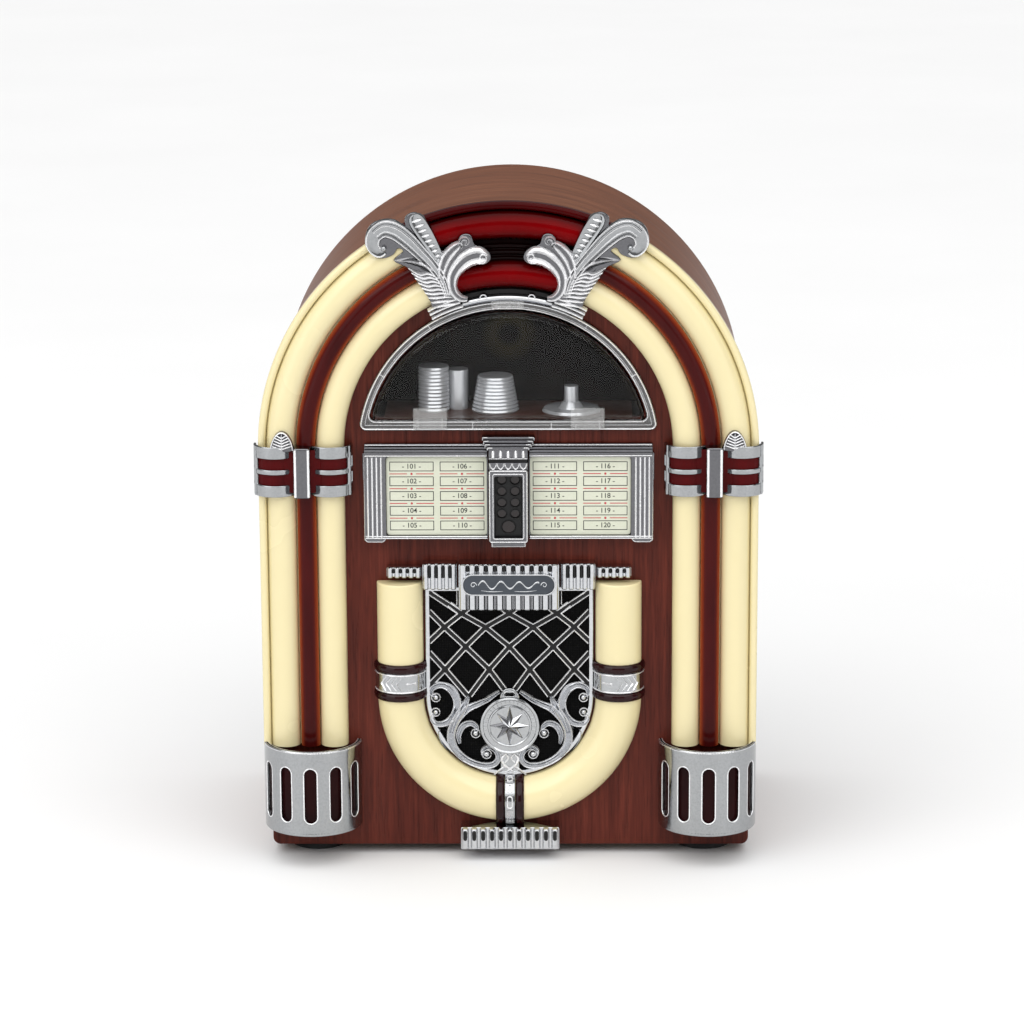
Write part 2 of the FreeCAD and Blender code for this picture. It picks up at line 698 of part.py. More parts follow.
# ---------------------------------------------------------------- ferrules and shoes
def twin_tube(name, round_more, low, tall):
    """Two upright cylinders round the right-hand column's lobes, joined by a block."""
    radius = f"ferrule_round + {round_more}"
    parts = [cylinder(name + "_lobe", radius, tall, (mid, "face_y - 1.5", low))
             for mid in ("ferrule_inner_mid", "ferrule_outer_mid")]
    parts.append(box(name + "_mid", ("ferrule_outer_mid - ferrule_inner_mid", f"{radius} + 2", tall),
                     ("ferrule_inner_mid", f"face_y - ({radius}) - 0.3", low)))
    return fuse(name, *parts)


def make_ferrule():
    """Chrome collar round the right-hand column: two slotted lobes, a flat bar and a leaf on top."""
    outer = twin_tube("ferrule_outside", "ferrule_wall", "ferrule_low", "ferrule_tall")
    inner = twin_tube("ferrule_inside", "0", "ferrule_low - 1", "ferrule_tall + 2")
    slots = []
    for mid in ("ferrule_inner_mid", "ferrule_outer_mid"):
        for low in ("ferrule_low + 4.4", "ferrule_low + 14.8"):
            slots.append(box("ferrule_slot", ("15.6", "20", "7.4"), (f"{mid} - 7.8", "face_y - 23", low)))
    shell = cut("ferrule_shell", outer, inner, behind_face("ferrule_behind"), *slots)
    middle = "(ferrule_inner_mid + ferrule_outer_mid)/2"
    bar = box("ferrule_bar", ("bar_wide", "3.4", "ferrule_tall"),
              (f"{middle} - bar_wide/2", "face_y - ferrule_proud", "ferrule_low"))
    bars = [box("lobe_bar", ("2.2", "1.2", "ferrule_tall"),
                (f"{mid} - 1.1", "face_y - 13.4", "ferrule_low"))
            for mid in ("ferrule_inner_mid", "ferrule_outer_mid")]
    leaf = common("leaf", sphere("leaf_ball", "9.6", ("118", "face_y - 6.8", "ferrule_low + ferrule_tall")),
                  cylinder("leaf_outline", "5.4", "40",
                           ("118", "face_y", "ferrule_low + ferrule_tall + 3.6"),
                           INTO_FACE))
    leaf_clear = box("leaf_clear", ("30", "40", "30"), ("103", "face_y - 10", "ferrule_low + 20"))
    leaf_top = cut("leaf_front", leaf, leaf_clear)
    right = node("ferrule_right", fuse("ferrule_right", shell, bar, leaf_top, *bars))
    node("ferrule_left", mirrored("ferrule_left", right))
    liner = cut("insert_right", twin_tube("insert_outside", "-0.2", "ferrule_low + 2", "ferrule_tall - 4"),
                twin_tube("insert_inside", "-0.8", "ferrule_low + 1", "ferrule_tall - 2"),
                behind_face("insert_behind"))
    node("ferrule_inserts", group("ferrule_inserts", liner, mirrored("insert_left", liner)))


SHOE_SLOT_ANGLES = (-62, -31, 0, 31, 62)


def make_shoe():
    """Chrome shoe at the foot of the right-hand column: half round, slotted, with a recessed top."""
    at = ("shoe_mid", "face_y", "shoe_low")
    tall = "shoe_top - shoe_low"
    outside = cylinder("shoe_outside", "shoe_radius", tall, at)
    inside = cylinder("shoe_inside", "shoe_radius - shoe_wall", f"{tall} - 5.2",
                      ("shoe_mid", "face_y", "shoe_low + 2.5"))
    recess = cylinder("shoe_recess", "shoe_radius - 2.4", "10", ("shoe_mid", "face_y", COLUMN_LOW))
    bead_room = box("shoe_bead_room", ("20", "bead_tall + bead_round + 0.1", "10"),
                    ("bead_mid - bead_round - 0.1", "face_y - bead_tall - bead_round - 0.1", COLUMN_LOW))
    slots = []
    for angle in SHOE_SLOT_ANGLES:
        turn = Rotation(Vector(0, 0, 1), angle)
        shift = mm("shoe_slot") / 2
        slot = box("shoe_slot", ("shoe_slot", "12", "33"),
                   (f"shoe_mid + ({shift})*{-math.cos(math.radians(angle)):.4f} "
                    f"+ (shoe_radius + 4)*{math.sin(math.radians(angle)):.4f}",
                    f"face_y - (shoe_radius + 4)*{math.cos(math.radians(angle)):.4f} "
                    f"- ({shift})*{math.sin(math.radians(angle)):.4f}",
                    "shoe_low + 7"), turn)
        slots.append(slot)
    right = cut("shoe_right", outside, inside, recess, bead_room, behind_face("shoe_behind"), *slots)
    node("shoe_right", right)
    node("shoe_left", mirrored("shoe_left", right))
    wide = cylinder("liner_wide", "shoe_radius - shoe_wall - 0.2", "36",
                    ("shoe_mid", "face_y", "shoe_low + 4.4"))
    slim = cylinder("liner_slim", "shoe_radius - shoe_wall - 1.4", "40",
                    ("shoe_mid", "face_y", "shoe_low + 2"))
    liner = cut("liner_right", wide, slim, behind_face("liner_behind"))
    node("shoe_liners", group("shoe_liners", liner, mirrored("liner_left", liner)))


# ---------------------------------------------------------------- window and display
def make_window():
    """Clear cover over the display, its bezel, and the three clips that hold it."""
    ring = lunette("bezel_outside", "window_radius", "window_low", "face_y - rim_proud", "rim_proud")
    hole = lunette("bezel_hole", "bubble_radius", "bubble_low", "face_y - rim_proud - 1", "rim_proud + 2")
    node("window_bezel", cut("window_bezel", ring, hole))
    dome = lunette("cover_dome", "bubble_radius - 0.1", "bubble_low + 0.1", "face_y - bubble_proud",
                   "bubble_proud")
    room = lunette("cover_room", "bubble_radius - 0.1 - pane_wall", "bubble_low + 0.1 + pane_wall",
                   "face_y - bubble_proud + pane_wall", "bubble_proud")
    node("window_cover", cut("window_cover", dome, room))
    clips = []
    for x, z, tall in (("0", "arc_z + 74.8", "4.0"), ("-40", "window_low + 0.6", "5"),
                       ("40", "window_low + 0.6", "5")):
        clips.append(box("clip", ("clip_wide", "2.6", tall),
                         (f"{x} - clip_wide/2", "face_y - rim_proud - 2.6", z)))
    node("window_clips", group("window_clips", *clips))


def make_display():
    """Dark tray set in the front panel, with a floor, three stacks of records and a spindle."""
    outside = lunette("tray_outside", "bubble_radius - 0.5", "floor_z - 2.4", "face_y", "tray_deep")
    inside = lunette("tray_inside", "bubble_radius - 2", "floor_z - 0.9", "face_y - 1", "tray_deep - 0.5")
    node("display_tray", cut("display_tray", outside, inside))
    node("display_floor", box("display_floor", ("130", "tray_deep - 3", "0.8"),
                              ("-65", "face_y + 0.5", "floor_z - 0.8")))
    axis_y = "face_y + record_out"
    left = ribbed_stack("left_stack", "-39.5", axis_y, "8.4", "8.4", 12, "2.0")
    partner = cylinder("left_partner", "5.6", "21", ("-27", "face_y + record_out + 6", "floor_z"))
    middle = ribbed_stack("middle_stack", "-7", axis_y, "12.6", "9.6", 10, "1.88")
    node("record_stacks", group("record_stacks", left, partner, middle))
    platter = cone("platter", "15.6", "14.4", "1.4", ("33", axis_y, "floor_z"))
    boss = cone("platter_boss", "7", "4.4", "3.4", ("33", axis_y, "floor_z + 1.4"))
    spindle = cylinder("spindle_post", "3.7", "13.1", ("33", axis_y, "floor_z"))
    node("record_spindle", fuse("record_spindle", platter, boss, spindle))


def ribbed_stack(name, x, y, low_radius, top_radius, count, pitch):
    """A stack of thin discs, each with a bevelled edge, from low_radius to top_radius."""
    discs = []
    for index in range(count):
        share = index / (count - 1)
        radius = f"({low_radius})*{1 - share:.4f} + ({top_radius})*{share:.4f}"
        base = f"floor_z + {index}*{pitch}"
        discs.append(cone(name + "_lower", f"{radius} - 0.6", radius, f"{pitch}/2", (x, y, base)))
        discs.append(cone(name + "_upper", radius, f"{radius} - 0.6", f"{pitch}/2",
                          (x, y, f"{base} + {pitch}/2")))
    return fuse(name, *discs)


# ---------------------------------------------------------------- titles and selector
CARD_FRONT = "5.4"
CARD_THICK = "1.0"


def make_title_holders():
    """A chrome frame for each title card, with a fluted column at its outer end."""
    holder = box("holder_block", ("2*titles_half", "titles_proud - 1.4", "titles_high - titles_low"),
                 ("-titles_half", "face_y - titles_proud + 1.4", "titles_low"))
    cuts = []
    flutes = []
    for side in ("1", "-1"):
        middle = f"{side}*card_mid"
        cuts.append(box("card_recess", ("card_wide + 0.4", "10", "card_tall + 0.4"),
                        (f"{middle} - card_wide/2 - 0.2", f"face_y - {CARD_FRONT} + {CARD_THICK} - 10",
                         "card_low - 0.2")))
        for index in range(4):
            x = f"{side}*(titles_half - 1.9 - {index}*2.5)"
            flutes.append(cylinder("end_flute", "1.2", "46.6",
                                   (x, "face_y - titles_proud + 1.2", "titles_low - 0.6")))
    cuts.append(box("selector_room", ("selector_wide + 0.4", "20", "60"),
                    ("-selector_wide/2 - 0.2", "face_y - 15", "titles_low - 1")))
    holder = cut("holder_frame", holder, *cuts)
    return node("title_holders", fuse("title_holders", holder, *flutes))


def make_title_cards():
    cards = [box("card", ("card_wide", CARD_THICK, "card_tall"),
                 (f"{side}*card_mid - card_wide/2", f"face_y - {CARD_FRONT}", "card_low"))
             for side in ("1", "-1")]
    return node("title_cards", group("title_cards", *cards))


HOLE_HEIGHTS = (208.6, 202.4, 196.4, 190.5)
BIG_HOLE_HEIGHT = 182.9
HOLE_APART = 3.45
PLATE_FRONT = "9.4"


def make_selector():
    """Upright chrome housing with a stepped cap, a dark plate with nine holes, and a lamp in each."""
    housing = box("housing_block", ("selector_wide", "selector_proud", "selector_high - selector_low"),
                  ("-selector_wide/2", "face_y - selector_proud", "selector_low"))
    room = box("housing_room", ("14.4", "20", "33.9"), ("-7.2", "face_y - 16", "177.2"))
    neck = box("cap_neck", ("19", "selector_proud - 1", "5"),
               ("-9.5", "face_y - selector_proud + 1", "selector_high"))
    cap = box("cap_block", ("27.6", "10.6", "12"), ("-13.8", "face_y - 10.6", "selector_high + 4.2"))
    teeth = []
    for low, front in (("selector_high + 6.2", "10.6"), ("selector_high", "selector_proud - 1")):
        for index in range(6):
            x = f"{(index - 2.5) * 3.1}"
            teeth.append(cylinder("tooth", "1.25", "4.2", (x, f"face_y - {front}", low)))
    node("selector_housing", cut("selector_housing", fuse("housing_whole", housing, neck, cap, *teeth),
                                 room,
                                 titles_room("cap_over_titles")))
    plate = box("plate_block", ("14.2", "2", "33.6"), ("-7.1", f"face_y - {PLATE_FRONT}", "177.35"))
    holes = [cylinder("plate_hole", f"{radius} + 0.2", "6", (x, f"face_y - {PLATE_FRONT} + 4", z),
                      INTO_FACE)
             for x, z, radius in hole_places()]
    node("selector_plate", cut("selector_plate", plate, *holes))
    lamps = [cylinder("lamp_barrel", radius, "10.4", (x, "face_y + 2", z), INTO_FACE)
             for x, z, radius in hole_places()]
    board = box("lamp_board", ("15", "1.6", "33"), ("-7.5", "face_y + 2", "178"))
    node("selector_lamps", fuse("selector_lamps", board, *lamps))


def titles_room(name):
    """The space of the title holder beside the selector's column, for the cap to sit over."""
    size = ("40", "titles_proud", "titles_high - titles_low + 0.2")
    left = box(name + "_left", size, ("-40 - selector_wide/2 - 0.2", "face_y - titles_proud", "titles_low"))
    right = box(name + "_right", size, ("selector_wide/2 + 0.2", "face_y - titles_proud", "titles_low"))
    return fuse(name, left, right)


def hole_places():
    """The selector's holes: x, z and radius as expressions."""
    places = [(f"{side}{HOLE_APART}", f"{z}", "lamp_round") for z in HOLE_HEIGHTS for side in ("", "-")]
    return places + [("0", f"{BIG_HOLE_HEIGHT}", "big_lamp_round")]


# ---------------------------------------------------------------- speaker grille
def fluted_bar(name, middle, wide, low, tall, proud, count):
    """An upright block whose front is a row of round flutes."""
    back = box(name + "_block", (wide, f"{proud} - 1.6", tall),
               (f"{middle} - {wide}/2", f"face_y - {proud} + 1.6", low))
    pitch = mm_of(wide) / count
    flutes = [cylinder(name + "_flute", f"{pitch / 2 * 0.9:.3f}", tall,
                       (f"{middle} + {(index - (count - 1) / 2) * pitch:.3f}",
                        f"face_y - {proud} + {pitch / 2:.3f}",
                        low)) for index in range(count)]
    return fuse(name, back, *flutes)


def make_grille_header():
    """Stepped fluted blocks across the top of the grille, and the plain dark plate let into the middle one."""
    parts = [fluted_bar("header_centre", "0", "52.8", "138.4", "25.4", "13.4", 11)]
    for side in (1, -1):
        parts.append(fluted_bar("header_mid", f"{side * 36.3}", "18.4", "149.0", "14.6", "10", 5))
        parts.append(fluted_bar("header_end", f"{side * 54.9}", "19.0", "154.6", "6.6", "8", 5))
    ends = [cylinder("plate_end", "5.1", "2.4", (x, "face_y - 12.4", "152.9"), INTO_FACE)
            for x in ("18.7", "-18.7")]
    middle = box("plate_middle", ("37.4", "2.4", "10.2"), ("-18.7", "face_y - 14.8", "147.8"))
    plate = node("nameplate", fuse("nameplate", middle, *ends))
    return node("grille_header", cut("grille_header", fuse("header_whole", *parts), plate))


def grille_outline(name, radius, front, deep):
    """The opening inside the U-shaped tube: straight sides and a half circle below."""
    disc = cylinder(name + "_disc", radius, deep, ("0", f"{front} + {deep}", "u_z"), INTO_FACE)
    sides = box(name + "_sides", (f"2*({radius})", deep, "grille_top - u_z"),
                (f"-({radius})", front, "u_z"))
    return fuse(name, disc, sides)


def make_grille_cloth():
    """Black cloth stretched over the speaker's opening, under the lattice."""
    outline = grille_outline("cloth_outline", "grille_half", "face_y - 0.8", "0.8")
    return node("grille_cloth", cut("grille_cloth", outline, under_header("cloth_under_header"),
                                    *ring_rooms("cloth")))


def ring_rooms(name):
    """The space that the rings and bands round the tube take on the panel's face."""
    round_all = "ring_proud + 0.1"
    tall = "band_high - band_low + 0.2"
    rooms = [cylinder(name + "_side_room", round_all, tall, (x, "face_y", "band_low - 0.1"))
             for x in ("u_radius", "-u_radius")]
    rooms.append(cylinder(name + "_low_room", round_all, "16", ("-8", "face_y", "u_z - u_radius"),
                          SIDEWAYS))
    return rooms


def under_header(name):
    """The space that the header's middle block takes on the panel's face."""
    return box(name, ("53.2", "40", "40"), ("-26.6", "face_y - 20", "137.9"))


LATTICE_PITCH = 24.2
LATTICE_Z = 114.0
SCROLLS = ((36.3, 81.8, 5.6), (17.4, 64.2, 4.2), (12.8, 53.0, 3.4), (27.0, 70.0, 5.6))


def make_grille_lattice():
    """Cast lattice of crossing bars with a rim, and scrolls round the medallion."""
    bars = []
    for angle in (45, -45):
        for index in range(-2, 3):
            x = index * LATTICE_PITCH - 60 * math.cos(math.radians(angle))
            z = LATTICE_Z - 60 * math.sin(math.radians(angle))
            bars.append(box("lattice_bar", ("120", "1.8", "1.8"), (f"{x:.3f}", "face_y - 2.6", f"{z:.3f}"),
                            in_face_plane(angle)))
    keep = box("lattice_keep", ("200", "10", "100"), ("-100", "face_y - 5", "72"))
    inside = common("lattice_inside", grille_outline("lattice_outline", "grille_half", "face_y - 5",
                                                     "10"), keep)
    grid = common("lattice_grid", fuse("lattice_bars", *bars), inside)
    scrolls = [washer("lattice_scroll", radius, 1.2, f"{side}{x}", f"{z}", "2.3")
               for x, z, radius in SCROLLS for side in ("", "-")]
    hub = washer("lattice_hub", 17.2, 1.4, "0", "medal_z", "2.1")
    rim = cut("lattice_rim", grille_outline("rim_wide", "grille_half", "face_y - 2.5", "1.7"),
              grille_outline("rim_slim", "grille_half - 2", "face_y - 4", "6"))
    top_bar = box("rim_top", ("2*grille_half", "1.7", "2"),
                  ("-grille_half", "face_y - 2.5", "grille_top - 2"))
    outline = grille_outline("lattice_clip", "grille_half", "face_y - 6", "12")
    whole = common("lattice_clipped", fuse("lattice_whole", grid, rim, top_bar, hub, *scrolls), outline)
    medal = [cylinder("lattice_under_medal", "medal_radius + 0.1", "10", ("0", "face_y", "medal_z"),
                      INTO_FACE),
             cylinder("lattice_under_loop", "5.2", "10", ("0", "face_y", "medal_z + medal_radius + 1.6"),
                      INTO_FACE),
             box("lattice_under_strap", ("6", "20", "30"), ("-3", "face_y - 20", "30"))]
    return node("grille_lattice", cut("grille_lattice", whole, under_header("lattice_under_header"), *medal,
                                      *ring_rooms("lattice")))


def washer(name, middle, half_wide, x, z, thick):
    """A flat ring on the grille cloth."""
    at = (x, "face_y - 0.8", z)
    outer = cylinder(name + "_outer", f"{middle + half_wide}", thick, at, INTO_FACE)
    inner = cylinder(name + "_inner", f"{middle - half_wide}", thick, at, INTO_FACE)
    return cut(name, outer, inner)


def make_medallion():
    """Round boss with an eight-pointed star, a loop on top, and a strap down over the tube."""
    disc = cylinder("medal_disc", "medal_radius - 0.1", "4.4", ("0", "face_y - 0.9", "medal_z"), INTO_FACE)
    rim = torus("medal_rim", "medal_radius - 1.6", "1.5", ("0", "face_y - 5.2", "medal_z"), INTO_FACE)
    inner = torus("medal_inner", "11.4", "0.9", ("0", "face_y - 5.2", "medal_z"), INTO_FACE)
    star = shaped("medal_star", star_shape(10.0, 4.2, 8, 2.4))
    place(star, ("0", "face_y - 4.9", "medal_z"), INTO_FACE)
    loop = torus("medal_loop", "3.6", "1.2", ("0", "face_y - 3.4", "medal_z + medal_radius + 1.6"),
                 INTO_FACE)
    stem = box("medal_stem", ("5", "3", "14"), ("-2.5", "face_y - 3.9", "medal_z - medal_radius - 13"))
    ring = cylinder("strap_wide", "tube_round + 1.6", "5.4", ("-2.7", "face_y", "u_z - u_radius"), SIDEWAYS)
    hole = cylinder("strap_slim", "tube_round + 0.05", "8", ("-4", "face_y", "u_z - u_radius"), SIDEWAYS)
    strap = cut("strap", ring, hole, behind_face("strap_behind"))
    return node("medallion", fuse("medallion", disc, rim, inner, star, loop, stem, strap))


def star_shape(outer, inner, points, tall):
    """A low pyramid over a star, its own Z up."""
    corners = []
    for index in range(2 * points):
        radius = outer if index % 2 == 0 else inner
        angle = math.pi * index / points
        corners.append(Vector(radius * math.cos(angle), radius * math.sin(angle), 0))
    corners.append(corners[0])
    top = Vector(0, 0, tall)
    faces = [Part.Face(Part.makePolygon(corners))]
    for first, second in zip(corners, corners[1:]):
        faces.append(Part.Face(Part.makePolygon([first, second, top, first])))
    return Part.makeSolid(Part.makeShell(faces))


BAND_SPLIT = "band_low + (band_high - band_low)/2"


def make_tubes():
    """Cream tube round the grille: two uppers, two lowers, with rings and bands over the joints."""
    at = "face_y"
    upper = cut("upper_right", cylinder("upper_round", "tube_round", f"tube_top - ({BAND_SPLIT})",
                                        ("u_radius", at, BAND_SPLIT)), behind_face("upper_behind"))
    node("upper_tubes", group("upper_tubes", upper, mirrored("upper_left", upper)))
    straight = cylinder("lower_straight", "tube_round", f"{BAND_SPLIT} - u_z", ("u_radius", at, "u_z"))
    bend = torus("lower_bend", "u_radius", "tube_round", ("0", at, "u_z"), turned(-90), "90")
    lower = cut("lower_right", fuse("lower_whole", straight, bend), behind_face("lower_behind"))
    node("lower_tubes", group("lower_tubes", lower, mirrored("lower_left", lower)))
    rings = []
    for low in ("band_low", "band_high - ring_tall"):
        rings.append(sleeve("side_ring", "ring_proud", "ring_tall", ("u_radius", at, low), UPRIGHT))
    bottom = sleeve("bottom_sleeve", "ring_proud", "4.6", ("3.0", at, "u_z - u_radius"), SIDEWAYS)
    bend_room = torus("bend_room", "u_radius", "tube_round + 0.05", ("0", at, "u_z"), turned(-90), "90")
    rings.append(cut("bottom_ring", bottom, bend_room))
    node("tube_rings", group("tube_rings", *rings, *[mirrored("ring_left", ring) for ring in rings]))
    band = sleeve("side_band", "ring_proud - 0.9", "band_high - band_low - 2*ring_tall - 0.4",
                  ("u_radius", at, "band_low + ring_tall + 0.2"), UPRIGHT)
    node("tube_bands", group("tube_bands", band, mirrored("band_left", band)))


def sleeve(name, radius, length, at, rotation):
    """A half-round sleeve over the tube, open where it meets the panel's face."""
    outside = cylinder(name + "_wide", radius, length, at, rotation)
    inside = cylinder(name + "_slim", "tube_round + 0.05", f"{length} + 2", at, rotation)
    axis = "x" if rotation is SIDEWAYS else "z"
    index = "xyz".index(axis)
    inside.setExpression(f"Placement.Base.{axis}", formula(f"{at[index]} - 1"))
    return cut(name, outside, inside, behind_face(name + "_behind"))


def make_base_badge():
    """Small fluted block at the foot of the panel."""
    bar = fluted_bar("badge_bar", "0", "52.6", "6.2", "12.4", "14.2", 11)
    over_tube = cylinder("badge_over_tube", "ring_proud + 0.1", "16", ("-8", "face_y", "u_z - u_radius"),
                         SIDEWAYS)
    return node("base_badge", cut("base_badge", bar, over_tube))


# ---------------------------------------------------------------- speaker
def ring_cone(name, low, high, tall, wall, y):
    """A hollow cone with its axis front to back: radius low at y, high further front."""
    outer = cone(name + "_outer", low, high, tall, ("0", y, "speaker_z"), INTO_FACE)
    inner = cone(name + "_inner", f"{low} - {wall}", f"{high} - {wall}", tall, ("0", y, "speaker_z"),
                 INTO_FACE)
    return cut(name, outer, inner)


def make_speaker():
    """Pressed basket behind the panel, its magnet, and the paper cone with the voice coil."""
    flange_wide = cylinder("flange_wide", "speaker_radius + 6", "1.6",
                           ("0", f"{PANEL_IN} + 1.6", "speaker_z"), INTO_FACE)
    flange_slim = cylinder("flange_slim", "speaker_radius - 1", "4",
                           ("0", f"{PANEL_IN} + 3", "speaker_z"), INTO_FACE)
    basket = ring_cone("basket", "21", "speaker_radius + 0.4", "22", "1.4", f"{PANEL_IN} + 23.6")
    windows = []
    for index in range(4):
        turn = INTO_FACE * Rotation(Vector(0, 0, 1), 45 + 90 * index)
        windows.append(box("basket_window", ("30", "14", "12"), ("0", f"{PANEL_IN} + 19", "speaker_z"),
                           turn))
    back_wide = cylinder("basket_back", "21", "1.6", ("0", f"{PANEL_IN} + 25.2", "speaker_z"), INTO_FACE)
    back_hole = cylinder("basket_hole", "13.5", "4", ("0", f"{PANEL_IN} + 26", "speaker_z"), INTO_FACE)
    frame = cut("speaker_frame", fuse("frame_whole", cut("flange", flange_wide, flange_slim), basket,
                                      back_wide),
                back_hole, *windows)
    node("speaker_frame", frame)
    magnet = cylinder("magnet_block", "20", "14", ("0", f"{PANEL_IN} + 39.2", "speaker_z"), INTO_FACE)
    gap_wide = cylinder("gap_wide", "13.4", "9", ("0", f"{PANEL_IN} + 33", "speaker_z"), INTO_FACE)
    gap_slim = cylinder("gap_slim", "11.0", "11", ("0", f"{PANEL_IN} + 34", "speaker_z"), INTO_FACE)
    node("speaker_magnet", cut("speaker_magnet", magnet, cut("gap", gap_wide, gap_slim)))
    paper = ring_cone("paper", "12.6", "speaker_radius - 4.6", "16", "0.8", f"{PANEL_IN} + 20")
    coil = cut("coil", cylinder("coil_wide", "12.6", "10", ("0", f"{PANEL_IN} + 29.5", "speaker_z"),
                                INTO_FACE),
               cylinder("coil_slim", "11.8", "12", ("0", f"{PANEL_IN} + 30.5", "speaker_z"), INTO_FACE))
    cap = cylinder("dust_cap", "12.6", "0.8", ("0", f"{PANEL_IN} + 20", "speaker_z"), INTO_FACE)
    node("speaker_cone", fuse("speaker_cone", paper, coil, cap))


# ---------------------------------------------------------------- controls
RECESS_X = "cab_radius - recess"         # outer side of the control panel's floor


def make_control_panel():
    """Moulded pan in the right side: a flange outside, four walls and a recessed floor."""
    flange = box("pan_flange", ("1.5", "panel_wide", "panel_tall"),
                 ("cab_radius", "panel_y - panel_wide/2", "panel_z - panel_tall/2"))
    wide, tall = f"{PANEL_HOLE_WIDE} - 0.4", f"{PANEL_HOLE_TALL} - 0.4"
    pan = box("pan_walls", ("recess + 2", wide, tall),
              (f"{RECESS_X} - 2", f"panel_y - ({wide})/2", f"panel_z - ({tall})/2"))
    room = box("pan_room", ("40", f"{wide} - 3.2", f"{tall} - 3.2"),
               (RECESS_X, f"panel_y - ({wide} - 3.2)/2", f"panel_z - ({tall} - 3.2)/2"))
    holes = [cylinder("shaft_hole", "shaft_round + 0.6", "10", (f"{RECESS_X} - 5", "panel_y", z), SIDEWAYS)
             for z in ("tuning_z", "volume_z")]
    for y in switch_rows():
        holes.append(box("switch_slot", ("10", "3.4", "4.0 + switch_travel + 0.8"),
                         (f"{RECESS_X} - 5", f"{y} - 1.7", "switch_z - 2.4")))
    return node("control_panel", cut("control_panel", fuse("pan_whole", flange, pan), room, *holes))


def switch_rows():
    return ("panel_y - switch_apart/2", "panel_y + switch_apart/2")


def make_knob(name, radius, z, count):
    """A fluted knob with a raised cap, on a shaft that runs in its bush behind the panel."""
    body = new_body(name + "_grip")
    sketch = new_sketch(body, "YZ_Plane", name + "_outline")
    sketch.addGeometry(Part.Circle(Vector(0, 0, 0), Vector(0, 0, 1), mm(radius)))
    sketch.addConstraint(Sketcher.Constraint("Coincident", 0, 3, -1, 1))
    index = sketch.addConstraint(Sketcher.Constraint("Radius", 0, mm(radius)))
    sketch.renameConstraint(index, "rim")
    sketch.setExpression("Constraints.rim", formula(radius))
    pad(body, sketch, "knob_tall")
    groove = new_sketch(body, "YZ_Plane", name + "_groove", "knob_tall - 2")
    sketch_circle(groove, "groove", "1.1", f"{radius} + 0.3", "0")
    pocket(body, groove, "knob_tall - 4")
    pattern = body.newObject("PartDesign::PolarPattern", name + "_grooves")
    pattern.Originals = [body.Tip]
    pattern.Axis = ([f for f in body.Origin.OriginFeatures if f.Role == "X_Axis"][0], [""])
    pattern.Angle = 360
    pattern.Occurrences = count
    body.Tip = pattern
    doc.recompute()
    place(body, (f"{RECESS_X} + 0.6", "panel_y", z))
    cap = cone(name + "_cap", f"{radius} - 3", f"{radius} - 4.5", "0.9",
               (f"{RECESS_X} + 0.6 + knob_tall", "panel_y", z),
               SIDEWAYS)
    pointer = box(name + "_pointer", ("1.3", "1.4", f"{radius} - 6"),
                  (f"{RECESS_X} + 0.6 + knob_tall", "panel_y - 0.7", f"{z} + 3"))
    shaft = cylinder(name + "_shaft", "shaft_round", "12.6", (f"{RECESS_X} - 12", "panel_y", z), SIDEWAYS)
    return node(name, fuse(name, body, cap, pointer, shaft))


def make_slide_switch(name, y):
    """A small slider: button in the recess, neck through the slot, foot in the switch behind."""
    button = box(name + "_button", ("3.4", "6", "4.6"), (f"{RECESS_X} + 0.4", f"{y} - 3", "switch_z - 2.3"))
    neck = box(name + "_neck", ("4.4", "2.8", "3.2"), (f"{RECESS_X} - 3.2", f"{y} - 1.4", "switch_z - 1.6"))
    foot = box(name + "_foot", ("1.6", "5", "3.2"), (f"{RECESS_X} - 4.8", f"{y} - 2.5", "switch_z - 1.6"))
    return node(name, fuse(name, button, neck, foot))


def make_control_board():
    """Board behind the control panel with the tuning capacitor, the volume control and two switches."""
    board = box("board_plate", ("1.6", "56", "106"), (f"{RECESS_X} - 19", "panel_y - 28", "panel_z - 53"))
    capacitor = box("tuning_capacitor", ("14", "26", "26"),
                    (f"{RECESS_X} - 17.5", "panel_y - 13", "tuning_z - 13"))
    pot = box("volume_pot", ("14", "20", "20"), (f"{RECESS_X} - 17.5", "panel_y - 10", "volume_z - 10"))
    bores = [cylinder("shaft_bore", "shaft_round + 0.05", "12", (f"{RECESS_X} - 12.4", "panel_y", z),
                      SIDEWAYS)
             for z in ("tuning_z", "volume_z")]
    parts = [board, cut("controls_bored", fuse("controls", capacitor, pot), *bores)]
    for y in switch_rows():
        case = box("switch_case", ("15", "9", "16"), (f"{RECESS_X} - 17.5", f"{y} - 4.5", "switch_z - 6"))
        room = box("switch_room", ("5", "5.6", "8.6"),
                   (f"{RECESS_X} - 5.4", f"{y} - 2.8", "switch_z - 2.2"))
        parts.append(cut("switch_body", case, room))
    return node("control_board", fuse("control_board", *parts))


# ---------------------------------------------------------------- inside
def make_arch_lamps():
    """A lamp in a holder behind each hole of the lit columns and arch."""
    lamps = []
    for x, z in lamp_places():
        holder = cylinder("lamp_holder", "4.6", "3", (x, f"{PANEL_IN} + 3", z), INTO_FACE)
        lamp = cylinder("lamp_post", "2.5", "4.5", (x, PANEL_IN, z), INTO_FACE)
        tip = sphere("lamp_tip", "2.4", (x, f"{PANEL_IN} - 3.4", z))
        lamps.append(fuse("lamp", holder, lamp, tip))
    return node("arch_lamps", group("arch_lamps", *lamps))


